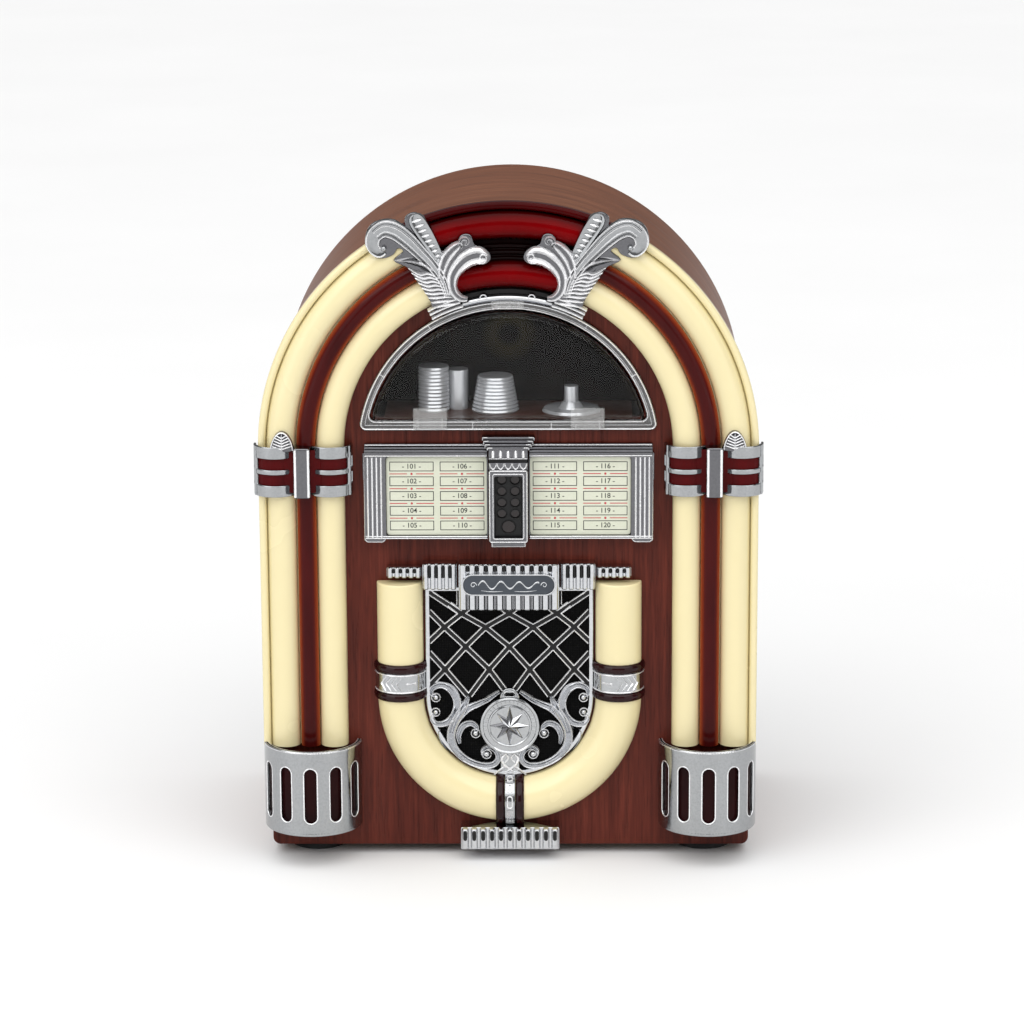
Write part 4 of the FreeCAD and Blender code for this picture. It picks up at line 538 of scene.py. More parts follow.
def clear_plastic(name, clear, edge, low=0.02, high=0.07, tint=(0.86, 0.86, 0.85, 1)):
    """Thin clear moulding: nearly all light goes straight through, and slanting parts shine."""
    finish = Finish(name, Metallic=1.0)
    place = finish.place()
    smears = finish.noise(place, 45, 5, 0.6, 0.5)
    facing = finish.node("ShaderNodeLayerWeight", {"Blend": 0.35}).outputs["Facing"]
    finish.set("Alpha", finish.between(finish.maths("POWER", facing, 2.2), 0.0, 1.0, clear, edge))
    finish.set("Base Color", finish.ramp(smears, (0.3, tuple(c * 0.94 for c in tint[:3])), (0.7, tint)))
    finish.set("Roughness", finish.between(smears, 0.35, 0.75, low, high))
    return finish.material


def cloth():
    """Black grille cloth with a fine open weave."""
    finish = Finish("grille_weave", Specular_IOR_Level=0.08)
    place = finish.place()
    waves = [finish.node("ShaderNodeTexWave", {"Vector": place, "Scale": 330.0, "Distortion": 0.4},
            wave_type="BANDS", bands_direction=way).outputs["Fac"] for way in ("X", "Z")]
    weave = finish.maths("MULTIPLY", *waves)
    finish.set("Base Color", finish.ramp(weave, (0.1, srgb(3, 3, 3)), (0.9, srgb(18, 18, 19))))
    finish.gloss(finish.noise(place, 700, 2), 0.75, 0.95)
    finish.bump(weave, 0.5, 0.0003)
    return finish.material


def paper():
    finish = Finish("card_paper", Coat_Weight=0.15, Coat_Roughness=0.2)
    place = finish.place()
    fibre = finish.noise(place, 1300, 4, 0.7)
    cloud = finish.noise(place, 30, 3)
    tone = finish.ramp(cloud, (0.3, srgb(196, 199, 180)), (0.7, srgb(207, 209, 192)))
    finish.set("Base Color", finish.mix(0.12, tone, finish.ramp(fibre, (0.3, srgb(190, 190, 160)),
            (0.7, srgb(250, 250, 235)))))
    finish.gloss(fibre, 0.45, 0.65)
    finish.bump(fibre, 0.08, 0.00005)
    return finish.material


def ink(name, colour):
    finish = Finish(name)
    place = finish.place()
    wear = finish.noise(place, 2200, 3)
    pale = tuple(min(1.0, c * 1.5 + 0.02) for c in colour[:3])
    finish.set("Base Color", finish.ramp(wear, (0.35, colour[:3]), (0.75, pale)))
    finish.gloss(wear, 0.45, 0.7)
    return finish.material


def backdrop_black():
    """The display's nearly black back wall, with a faint ring and cloudy tints."""
    finish = Finish("display_black", Specular_IOR_Level=0.04)
    middle = ((COVER.x0 + COVER.x1) / 2 * MM, 0, (COVER.z0 + 36) * MM)
    place = finish.place()
    flat = finish.node("ShaderNodeVectorMath", {0: place, 1: (1, 0, 1)}, operation="MULTIPLY").outputs[0]
    away = finish.node("ShaderNodeVectorMath", {0: flat, 1: middle}, operation="DISTANCE").outputs["Value"]
    ring = finish.ramp(away, (0.0065, (0, 0, 0, 1)), (0.0085, (1, 1, 1, 1)), (0.0105, (1, 1, 1, 1)),
            (0.0125, (0, 0, 0, 1)))
    cloud = finish.noise(place, 34, 4, 0.6, 0.4)
    tint = finish.ramp(cloud, (0.42, srgb(9, 8, 8)), (0.6, srgb(18, 12, 10)), (0.75, srgb(34, 16, 12)))
    finish.set("Base Color", finish.mix(finish.maths("MULTIPLY", ring, 0.8), tint, srgb(52, 46, 22)))
    finish.gloss(cloud, 0.3, 0.5)
    return finish.material


def board():
    """Green circuit board with copper runs under the lacquer."""
    finish = Finish("circuit_green", Coat_Weight=0.4, Coat_Roughness=0.15)
    place = finish.place()
    runs = finish.node("ShaderNodeTexBrick", {"Vector": place, "Scale": 160.0,
            "Mortar Size": 0.03}).outputs["Fac"]
    finish.set("Base Color", finish.mix(runs, srgb(18, 78, 44), srgb(40, 120, 66)))
    finish.gloss(finish.noise(place, 400, 2), 0.3, 0.5)
    finish.bump(runs, 0.2, 0.0001)
    return finish.material


FRONT_WOOD = wood("mahogany_front", (1.0, 1.0, 0.05))
# the same veneer as the front, with a paler palette: painted sheen, the light that the top and sides catch
SHELL_WOOD = wood("mahogany_shell_painted_sheen", (0.05, 1.0, 1.0), "UV", srgb(84, 50, 34), srgb(112, 70, 50),
        srgb(134, 92, 68), 0.4)
CHROME = chrome()
# a darker copy of the same chrome for the broad cast bodies: painted shade
MID_CHROME = chrome("chrome_painted_dim", (0.38, 0.39, 0.40, 1), 0.08, 0.18)
SOFT_CHROME = chrome("soft_chrome", (0.46, 0.47, 0.48, 1), 0.08, 0.18)
# a lighter, partly diffuse copy of the same chrome for raised lines and edges: painted highlight
HIGHLIGHT_CHROME = chrome("chrome_painted_highlight", (0.90, 0.90, 0.91, 1), 0.16, 0.3, metal=0.72)
# a much darker copy of the same chrome for frames, underlays, grooves and facets: painted shade and painted
# dark reflection
SHADE_CHROME = chrome("chrome_painted_shade", (0.16, 0.16, 0.17, 1), 0.1, 0.2)
SLATE = moulded("nameplate_slate", srgb(66, 71, 78), 0.4, 0.12, 900, 0.15, Metallic=0.45)
CREAM = cream_plastic()
ROD = rod_plastic()
CROWN = red_plastic("red_crown", srgb(92, 0, 2), srgb(118, 0, 4), True)
MAROON = red_plastic("maroon_ring", srgb(22, 3, 5), srgb(40, 7, 9), coat=0.4)
LINER = red_plastic("dark_red_liner", srgb(58, 6, 8), srgb(90, 14, 16))
SHOE_LINER = red_plastic("shoe_liner_red", srgb(22, 7, 8), srgb(42, 12, 13))
CLEAR = clear_plastic("clear_cover", 0.01, 0.45)
CLIP = clear_plastic("clear_clip", 0.14, 0.7, 0.06, 0.14)
BEZEL_CLEAR = clear_plastic("clear_bezel", 0.5, 0.85, 0.03, 0.08, (0.2, 0.2, 0.2, 1))
BLACK = moulded("black_plastic", srgb(17, 17, 18), 0.32, Specular_IOR_Level=0.3)
BACK_WALL = backdrop_black()
SILVER = moulded("silver_plastic", srgb(200, 202, 205), 0.2, 0.06, Metallic=0.55)
FLOOR_BROWN = moulded("display_floor_brown", srgb(58, 30, 18), 0.4, 0.3, 600, 0.2)
REAR = moulded("rear_board_black", srgb(26, 22, 20), 0.6, 0.2, 1500, 0.35)
RUBBER = moulded("foot_rubber", srgb(22, 22, 23), 0.8, 0.15, 1800, 0.4)
KNOB = moulded("knob_plastic_dark", srgb(30, 24, 22), 0.3, 0.15, 1800, 0.12, Coat_Weight=0.3,
        Coat_Roughness=0.15)
STEEL = chrome("zinc_steel", (0.55, 0.55, 0.56, 1), 0.25, 0.4, 0.1)
FERRITE = moulded("ferrite_grey", srgb(46, 47, 50), 0.7, 0.15, 1200, 0.3)
CONE_PAPER = moulded("cone_paper", srgb(38, 36, 34), 0.85, 0.2, 900, 0.5)
LAMP = moulded("lamp_dark_red", srgb(22, 6, 6), 0.2, 0.2, 900, 0.03, Coat_Weight=0.1, Coat_Roughness=0.05)
BULB = moulded("lamp_clear", srgb(225, 215, 195), 0.15, 0.06, 800, 0.02, Transmission_Weight=0.6)
BASE_WOOD = wood("base_fibreboard", (0.6, 0.6, 1.0), "Object", srgb(88, 64, 44), srgb(110, 82, 58),
        srgb(128, 98, 72), 0.6)
CLOTH, PAPER, BOARD = cloth(), paper(), board()
BLACK_INK, RED_INK = ink("card_ink_black", srgb(24, 26, 24)), ink("card_ink_red", srgb(168, 36, 46))


# ---------------------------------------------------------------- cabinet
SHELL_FRONT, SHELL_BACK = SHELL.y0, SHELL.y1
SIDE_LONG = ARC_Z - SHELL.z0                   # straight part of the shell's section
ARCH_LONG = math.pi * HALF
WALL = 6.0
CONTROLS = Room("control_panel")


def on_shell(s, y, h):
    """A point on the bent shell.

    s runs up the left side, over the top and down the right, and h is out from its inside.
    """
    radius = HALF - WALL + h
    if s < SIDE_LONG:
        return (-radius, y, SHELL.z0 + s)
    if s > SIDE_LONG + ARCH_LONG:
        return (radius, y, ARC_Z - (s - SIDE_LONG - ARCH_LONG))
    a = math.pi * (s - SIDE_LONG) / ARCH_LONG
    return (-radius * math.cos(a), y, ARC_Z + radius * math.sin(a))


def shell_grain(x, y, z):
    """Distance along the shell's section and across it, in metres, so the grain follows the bend."""
    if z <= ARC_Z:
        s = z - SHELL.z0 if x < 0 else 2 * SIDE_LONG + ARCH_LONG - (z - SHELL.z0)
    else:
        s = SIDE_LONG + HALF * (math.pi - math.atan2(z - ARC_Z, x))
    return (s * MM, y * MM)


def build_cabinet():
    whole = 2 * SIDE_LONG + ARCH_LONG
    outline = dense([(0, SHELL_FRONT), (whole, SHELL_FRONT), (whole, SHELL_BACK), (0, SHELL_BACK)], 4)
    far = whole + SHELL.z0
    room = dense(round_box(far - CONTROLS.z1 + 1.6, CONTROLS.y0 + 1.6, far - CONTROLS.z0 - 1.6,
            CONTROLS.y1 - 1.6, 3), 4)
    shell = Shape()
    plate(shell, [outline, room], 0, WALL, 1.0, on_shell, pitch=4.5)
    shell.make("shell_veneer", SHELL_WOOD, "mahogany_veneer", "cabinet_shell", uv=shell_grain)

    corner = 4.0
    low = PANEL.z0
    front = (arc(0, ARC_Z, HALF, 0, 180, 120) + arc(-HALF + corner, low + corner, corner, 180, 270, 7)
            + arc(HALF - corner, low + corner, corner, 270, 360, 7))
    panel = Shape()
    holes = [lunette(COVER.z1 - ARC_Z + 0.4, COVER.z0 - 0.6, 4), grille_outline(38, 140, TUBE_Z)]
    plate(panel, [front] + holes, 0, PANEL.y1 - PANEL.y0, 0.9, lambda x, z, h: (x, PANEL.y1 - h, z))
    panel.make("front_veneer", FRONT_WOOD, "mahogany_veneer", "front_panel")

    feet = Shape()
    rubber = Room("rubber_feet")
    radius = 15.5
    profile = [(0.1, 0.4), (radius - 5.5, 0.4), (radius - 4.5, 0), (radius - 1.4, 0), (radius - 0.4, 0.5),
            (radius - 0.1, 1.2), (radius - 0.9, rubber.z1 - 0.6), (radius - 1.2, rubber.z1)]
    for x in (rubber.x0 + radius, rubber.x1 - radius):
        for y in (rubber.y0 + radius, rubber.y1 - radius):
            revolve(feet, profile, lambda a, b, h, x=x, y=y: (x + a, y + b, h), 48)
    feet.make("foot_pads", RUBBER, "black_rubber", "rubber_feet")


def grille_outline(half, top, low_centre, count=48):
    """Outline of the space inside the U-shaped tube."""
    return [(half, low_centre), (half, top), (-half, top)] + arc(0, low_centre, half, 180, 360, count)


# ---------------------------------------------------------------- lit arch
BEAD = half_round(129.0, 4.0, 2.0, 0, 180, 8)
OUTER_LOBE = half_round(119.1, 1.3, 7.7, 12, 176, 18)
INNER_LOBE = half_round(93.4, 1.7, 7.3, 4, 172, 18)
LIT_ANGLE = 64.0


def painted_lobe_shade(lobe):
    """Painted shade on a lobe: how red each point is, least at its two feet."""
    top = max(h for _, h in lobe)
    return [max(0.0, (h / top - 0.35) / 0.65) ** 1.3 for _, h in lobe]


def build_lit_arch():
    section = [(TRIM_OUT, 0)] + BEAD + [(126.9, 2.6)] + OUTER_LOBE + [(111.1, 2),
            (101, 2)] + INNER_LOBE + [(86.0, 0)]
    for side, sign in (("right", 1), ("left", -1)):
        cream = Shape()
        rows = column_rows(section, COLUMN_LOW, LIT_ANGLE)
        cream.rows([[(sign * x, y, z) for x, y, z in row] for row in rows], around=True, caps=True)
        cream.make("diffuser_" + side, CREAM, "cream_plastic", "column_diffuser_" + side)

    rod_mid, rod_radius = 105.9, 5.1
    bar = half_round(rod_mid, 3.4, rod_radius, -20, 200, 22)
    across = [abs(r - rod_mid) / rod_radius for r, _ in bar]
    rods = Shape()
    rods.rows(column_rows(bar, COLUMN_LOW, LIT_ANGLE), around=True, caps=True, mark=across)
    rods.mirror().make("rods", ROD, "red_plastic", "column_rods")

    ribs = []
    for mid in (107.7, 104.3, 100.9):
        ribs += [(mid + 1.5, 1.4)] + half_round(mid, 1.6, 1.1, 20, 160, 6) + [(mid - 1.5, 1.4)]
    section = ([(TRIM_OUT, 0)] + BEAD + [(126.9, 2.0)] + OUTER_LOBE + [(111, 1.2)] + ribs + [(99, 1.2)]
            + INNER_LOBE + [(86.2, 0)])
    # painted shade across the crown's section: dark on the bead's side, at the lobes' feet and over the
    # ribbed channel
    shade = [0.3] + [0.42] * len(BEAD) + [0.1] + painted_lobe_shade(OUTER_LOBE) + [0.0] * (len(ribs)
            + 2) + painted_lobe_shade(INNER_LOBE) + [0.0]
    crown = Shape()
    crown.rows(arch_rows(section, LIT_ANGLE + 0.4, 180 - LIT_ANGLE - 0.4), around=True, caps=True, mark=shade)
    crown.make("crown_moulding", CROWN, "red_plastic", "crown_lens")

    rail = Room("crown_rail")
    inner = 79.4
    tall = FACE - rail.y0
    lean = math.degrees(math.acos(rail.x1 / 85.6))
    bed = Shape()
    bed.rows(arch_rows([(85.5, 0.1), (85.5, 3.0), (85.1, 3.4), (83.0, 3.5), (82.6, 3.2), (82.6, 0.1)], lean,
            180 - lean), around=True, caps=True)
    bed.make("crown_strip", BLACK, "black_plastic")
    line = Shape()
    section = [(82.5, 0.1), (82.5, tall - 1.2), (82.1, tall - 0.3), (81.5, tall), (80.8, tall - 0.4),
            (80.5, tall - 1.6), (80.2, tall - 1.6), (79.9, tall - 1.0), (inner, tall - 1.4), (inner, 0.1)]
    line.rows(arch_rows(section, lean + 0.5, 179.5 - lean), around=True, caps=True)
    for x in (12.5, -12.5):
        z = ARC_Z + math.sqrt((inner + 2.6) ** 2 - x * x)
        stroke(line, arc(x, z, 1.7, -20, 200, 14), 0.55, 1.0, tall - 1.0)
    line.make("crown_rail_chrome", CHROME, "chrome_trim", "crown_rail")


# ---------------------------------------------------------------- cast plumes beside the crown
def volute(x, z, start, turn, radius, end_radius, count, wide, tall, thin=0.7):
    """Points of a spiral that closes in on its centre: (x, z, half width, height)."""
    out = []
    for i in range(count + 1):
        t = i / count
        a = math.radians(start + turn * t)
        r = radius + (end_radius - radius) * t
        k = 1 - (1 - thin) * t
        out.append((x + r * math.cos(a), z + r * math.sin(a), wide * k, tall * k))
    return out


PLUME_EDGE = [(21.4, 304.6), (28.2, 307.4), (31.0, 313.2), (29.8, 318.8), (24.4, 322.2), (18.2, 323.0),
        (12.0, 322.6), (8.6, 325.2), (8.9, 328.8), (12.0, 331.6), (16.6, 333.2), (18.2, 337.6), (21.2, 338.8),
        (24.4, 337.4), (26.2, 333.8), (30.6, 331.6), (34.2, 330.0), (38.0, 337.0), (41.6, 343.6),
        (45.2, 349.0), (49.4, 349.6), (52.6, 346.8), (52.4, 342.8), (57.6, 346.0), (63.4, 346.3),
        (69.2, 344.2), (72.4, 339.4), (72.6, 333.0), (69.4, 327.4), (64.2, 325.9), (58.6, 327.9),
        (56.2, 331.2), (53.6, 329.6), (58.6, 325.0), (52.6, 321.8), (50.2, 320.0), (47.0, 314.6),
        (43.0, 308.8), (39.8, 303.4), (37.8, 299.2), (30.0, 301.6), (24.0, 302.6)]


def build_plume():
    cast, lines, dark = Shape(), Shape(), Shape()
    low = 8.6
    edge = smooth_path(PLUME_EDGE + PLUME_EDGE[:1], 3)[:-1]

    def grooved(path, per):
        """A bright scroll with a dark strip along its middle: painted shade in its groove."""
        ridge(lines, path, TWIN, low, per)
        ridge(dark, [(x, z, 0.22 * w, 0.56 * h) for x, z, w, h in path], [(-1, 0), (-1, 1), (1, 1), (1, 0)],
                low, per)
    # dark plate under the whole plume: painted shade round its parts
    plate(dark, [edge], low - 1.0, low + 1.7, 0.7)
    # broad curled stem with two raised lines on it
    stem = [(30.6, 306.0, 1.6, 3.0), (33.2, 314.5, 2.4, 3.3), (38.5, 322.6, 3.2, 3.4),
            (45.0, 329.6, 4.0, 3.4), (51.5, 336.0, 4.8, 3.2), (57.6, 340.3, 5.0, 3.0),
            (63.4, 341.4, 4.8, 3.0), (68.2, 338.0, 4.3, 3.0), (69.0, 332.6, 3.7, 3.0),
            (66.0, 329.3, 3.0, 3.0), (63.0, 330.4, 2.2, 2.8)]
    ridge(cast, stem, [(-1, 0), (-1, 0.6), (-0.9, 0.85), (-0.6, 0.8), (0, 0.72), (0.6, 0.8), (0.9, 0.85),
            (1, 0.6), (1, 0)], low)
    edge_lines(lines, stem, 0.8, 0.7, 0.5, low, 6)
    edge_lines(lines, stem[:8], 0.3, 0.6, 0.4, low, 6)
    # dark lines along the stem's inner edges: painted shade
    edge_lines(dark, stem[:8], 0.55, 0.42, -0.25, low, 6)
    ball(cast, 63.4, 331.4, low + 3.4, 1.6)
    # comb: a tapering strip with a round end and a row of slanting beads
    comb = [(33.2, 322.4, 1.9, 2.7), (36.0, 328.2, 3.0, 3.1), (39.4, 334.4, 3.9, 3.3),
            (43.0, 340.4, 4.5, 3.4), (46.2, 345.4, 4.4, 3.4), (47.6, 347.8, 3.2, 3.2),
            (48.2, 349.0, 1.2, 2.6)]
    ridge(cast, comb, [(-1, 0), (-1, 0.7), (-0.86, 1), (-0.7, 0.9), (0, 0.6), (0.7, 0.9), (0.86, 1), (1, 0.7),
            (1, 0)], low)
    for i in range(9):
        t = i / 8
        x, z = 34.2 + 12.2 * t, 325.0 + 20.8 * t
        half = 0.9 + 1.5 * t
        ridge(lines, [(x - half, z + 0.32 * half, 0.35, 1.6), (x, z, 0.95, 2.5),
                (x + half, z - 0.32 * half, 0.35, 1.6)], ROUND, low + 2.0, 4)
    # neck and head of the inner scroll, with its crest
    grooved([(20.6, 304.7, 1.2, 3.0), (24.0, 305.2, 1.9, 4.0), (27.2, 308.2, 2.3, 4.6),
            (28.4, 312.6, 2.6, 4.9), (27.8, 317.4, 3.3, 5.2), (24.8, 322.2, 4.0, 5.4),
            (20.4, 326.0, 4.7, 5.4), (15.8, 327.6, 4.8, 5.0), (12.4, 327.4, 3.9, 4.6),
            (9.8, 326.8, 2.0, 3.6)], 6)
    ridge(lines, [(18.6, 324.6, 0.6, 3.0), (14.4, 323.9, 1.0, 5.2)] + volute(12.6, 326.6, -70, -350, 2.8, 0.9,
            16, 0.9, 5.6, 0.7), ROUND, low, 3)
    grooved([(33.2, 312.0, 0.7, 3.6), (33.6, 319.4, 2.2, 4.8), (31.6, 326.0, 3.0, 5.4),
            (28.0, 330.6, 2.8, 5.4), (24.8, 333.0, 2.0, 5.0)] + volute(21.6, 334.6, -50, 330, 2.7, 0.9, 16,
            1.3, 5.2, 0.65), 4)
    # leaf that points outwards
    ridge(lines, [(36.0, 318.4, 0.6, 3.0), (42.0, 322.2, 2.0, 4.6), (48.0, 324.4, 2.6, 5.0),
            (53.6, 325.0, 1.6, 4.6), (58.0, 325.0, 0.2, 3.4)], KEEL, low, 5)
    # dark lines beside the leaf's keel: painted shade
    for rise in (1.5, -1.5):
        ridge(dark, [(42.0, 322.2 + rise, 0.3, 4.0), (48.0, 324.4 + rise, 0.4, 4.4), (55.6, 325.0, 0.2, 3.8)],
                ROUND, low, 4)
    # feathered edge
    for i in range(9):
        t = i / 8
        x0, z0 = 34.4 - 8.0 * t, 315.4 - 12.6 * t
        x1, z1 = 50.2 - 13.2 * t, 320.8 - 20.2 * t
        mx, mz = (x0 + x1) / 2, (z0 + z1) / 2
        ridge(lines, [(x0, z0, 0.4, 3.4), (mx - 1.6, mz + 0.2, 1.0, 5.0), (mx + 2.4, mz - 0.2, 1.15, 5.2),
                (x1, z1, 0.75, 4.2), (x1 + 0.5, z1 + 0.5, 0.25, 3.4)], ROUND, low - 0.4, 4)
    # dark ridge under the feathered edge: painted shade
    ridge(dark, [(29.0, 302.6, 1.6, 2.6), (33.6, 307.6, 4.4, 3.0), (38.6, 314.0, 6.4, 3.0),
            (42.6, 319.2, 5.4, 3.0), (46.0, 322.4, 2.4, 2.6)], ROUND, low - 0.8, 4)
    # striped foot on the rail
    for k, radius in enumerate((81.0, 83.2, 85.4)):
        foot = [(px, pz, 0.95, 6.0 - 0.6 * k) for px, pz in arc(0, ARC_Z, radius, 73.6 - 0.6 * k, 61.4, 10)]
        ridge(lines, foot, ROUND, 7.2, 0)
    both_sides(("plume", cast, MID_CHROME), ("plume_lines", lines, HIGHLIGHT_CHROME),
            ("plume_shade", dark, SHADE_CHROME), node="scroll_ornament_")


# ---------------------------------------------------------------- ferrules and shoes
FERRULE = Room("ferrule_right")
FERRULE_TOP = 226.8
LOBES = ((121.8, 1), (93.2, -1))
LOBE_R = 11.7
SHOE = Room("shoe_right")


def build_ferrules():
    low = FERRULE.z0
    start = math.radians(-8)                   # where the band starts, just under the lobe's outer side
    cast, lines, dark = Shape(), Shape(), Shape()
    for mid, way in LOBES:
        def bent(u, z, h, mid=mid, way=way):
            a = start + u / LOBE_R
            return on_face(mid + way * (LOBE_R - 1.3 + h) * math.cos(a), z, 1.5
                    + (LOBE_R - 1.3 + h) * math.sin(a))
        length = LOBE_R * math.radians(158)
        holes = []
        for z0 in (low + 6.2, low + 14.6):
            holes.append(dense(round_box(1.6, z0, 6.6, z0 + 5.8, 0.5, 3), 1.4))
            holes.append(dense(round_box(8.4, z0, length - 1.6, z0 + 5.8, 0.7, 3), 1.4))
        outline = dense(round_box(0, low, length, FERRULE_TOP, 0.6, 3), 1.4)
        plate(cast, [outline] + holes, 0, 1.3, 0.45, bent, pitch=1.4)
        # flange rib that runs down the lobe's outer side
        a = start + 7.5 / LOBE_R
        rx, rh = mid + way * LOBE_R * math.cos(a), 1.5 + LOBE_R * math.sin(a)
        rib = [[(rx + way * dx, FACE - rh - dh, z) for dx, dh in ((-0.7, 0), (-0.5, 0.5), (0.3, 0.6),
                (0.7, 0.1))] for z in (low + 0.3, FERRULE_TOP - 0.3)]
        cast.rows(rib, around=True, caps=True)
    bar_mid = (LOBES[0][0] + LOBES[1][0]) / 2
    # the bar between the lobes in the shade chrome, with highlight chrome lines: painted shade and painted
    # highlight
    plate(dark, [round_box(bar_mid - 4.3, low, bar_mid + 4.3, FERRULE_TOP, 1.2, 3)], 3.0,
            FACE - FERRULE.y0 - 0.6, 0.9)
    for x in (bar_mid - 3.4, bar_mid + 3.4):
        stroke(lines, [(x, low + 0.8), (x, FERRULE_TOP - 0.8)], 0.75, 0.9, FACE - FERRULE.y0 - 1.0)
    leaf(dark, lines, 118.0, FERRULE_TOP)
    both_sides(("ferrule_cast", cast, MID_CHROME), ("ferrule_lines", lines, HIGHLIGHT_CHROME),
            ("ferrule_shade", dark, SHADE_CHROME), node="ferrule_")


def both_sides(*pieces, node):
    """Makes each shape on the right and mirrored on the left. The first stands in for the frame's node."""
    for name, shape, material in pieces:
        for side, sign in (("right", 1), ("left", -1)):
            half = Shape()
            half.verts, half.faces = [(sign * x, y, z) for x, y, z in shape.verts], shape.faces
            nodes = [node + side] if shape is pieces[0][1] else []
            half.make(f"{name}_{side}", material, "chrome_trim", *nodes, sharp=50)


def leaf(shape, lines, x, z):
    """Egg-shaped leaf on top of a ferrule, leaning back, with a raised edge and slanting veins."""
    half, tall, low = 6.2, 9.8, z - 1.6

    def leaning(u, v, h):
        return on_face(u, v, h - 0.10 * (v - z))

    def egg(scale, count=48):
        turns = [2 * math.pi * i / count for i in range(count)]
        return [(x + scale * half * math.cos(a) * (1 - 0.12 * max(0, math.sin(a))), low
                + scale * tall * math.sin(a) * (1 if math.sin(a) > 0 else 0.12)) for a in turns]
    # the leaf's body in the shade chrome, its rim and veins in the highlight chrome: painted shade and
    # painted highlight
    plate(shape, [egg(1.0)], 9.0, 12.2, 0.9, leaning)
    rim = egg(0.93)
    stroke(lines, rim[:25], 0.42, 0.9, 12.0, leaning)
    ridge(lines, [(x, low + 0.4, 0.4, 1.2), (x, low + 8.6, 0.25, 1.0)], ROUND, 12.0, 0, leaning)
    for i in range(5):
        v = low + 0.6 + 1.45 * i
        reach = 4.9 - 0.5 * i
        for way in (1, -1):
            ridge(lines, [(x + way * 0.3, v, 0.42, 1.0), (x + way * reach, v + 1.5, 0.3, 0.8)], ROUND, 12.0,
                    0, leaning)


def half_turn(shape, profile, mid):
    """Turns (radius, z) points half way round an upright axis that lies in the face at x = mid."""
    rows = [[on_face(mid + r * math.sin(a), z, r * math.cos(a)) for r, z in profile]
            for a in (math.radians(-90 + 3 * i) for i in range(61))]
    shape.rows(rows, around=True, caps=True)


def build_shoes():
    radius, mid = 26.0, (SHOE.x0 + SHOE.x1) / 2
    wall = 1.6
    low, top = SHOE.z0, SHOE.z1

    def bent(u, z, h):
        a = u / radius
        r = radius - wall + h
        return on_face(mid + r * math.sin(a), z, r * math.cos(a))
    reach = radius * math.pi / 2
    slots = []
    for angle in (-62, -31, 0, 31, 62):
        u, half = radius * math.radians(angle), 3.7
        slots.append(dense(arc(u, top - 12.6, half, 0, 180, 12) + arc(u, low + 10.6, half, 180, 360, 12),
                1.6))
    cast, lines = Shape(), Shape()
    plate(cast, [dense([(-reach, low), (reach, low), (reach, top), (-reach, top)], 1.6)] + slots, 0, wall,
            0.55, bent, pitch=1.6)
    for loop in slots:
        stroke(lines, loop + loop[:2], 0.4, 0.3, wall - 0.3, bent)
    # thickened rims at top and bottom, and the recessed ledge
    for shape, z, tall in ((lines, top - 1.3, 1.3), (cast, low, 2.0)):
        rim = [(radius - wall, z), (radius - 0.2, z), (radius, z + 0.35), (radius, z + tall - 0.45),
                (radius - 0.35, z + tall), (radius - wall - 0.5, z + tall), (radius - wall - 0.5, z)]
        half_turn(shape, rim, mid)
    ledge = [(radius - wall - 0.3, top - 2.0), (radius - wall - 0.3, top - 1.4), (radius - 6.4, top - 2.9),
            (radius - 6.4, top - 4.4)]
    half_turn(cast, ledge, mid)
    both_sides(("shoe_cast", cast, MID_CHROME), ("shoe_lines", lines, HIGHLIGHT_CHROME), node="shoe_")


# ---------------------------------------------------------------- window
def dome(shape, radius, low, corner, height, rim, wall):
    """A hollow clear cover: outer skin with a rounded edge, and the inner skin."""
    outer = clean(lunette(radius, low, corner))
    for loop, top, bend, flip in ((outer, height, rim, False), (inset(outer, wall), height - wall,
            rim - wall / 2, True)):
        stack = [(loop, 0.0)]
        for step in range(6):
            a = math.pi / 2 * step / 5
            stack.append((inset(loop, bend * (1 - math.cos(a))), top - bend * (1 - math.sin(a))))
        rows = [[on_face(p[0], p[1], h) for p in line] for line, h in stack]
        shape.rows(rows[::-1] if flip else rows, around=True)
        fill(shape, [stack[-1][0]], top, on_face, 5)
    shape.rows([[on_face(p[0], p[1], 0) for p in line] for line in (outer, inset(outer, wall))], around=True)


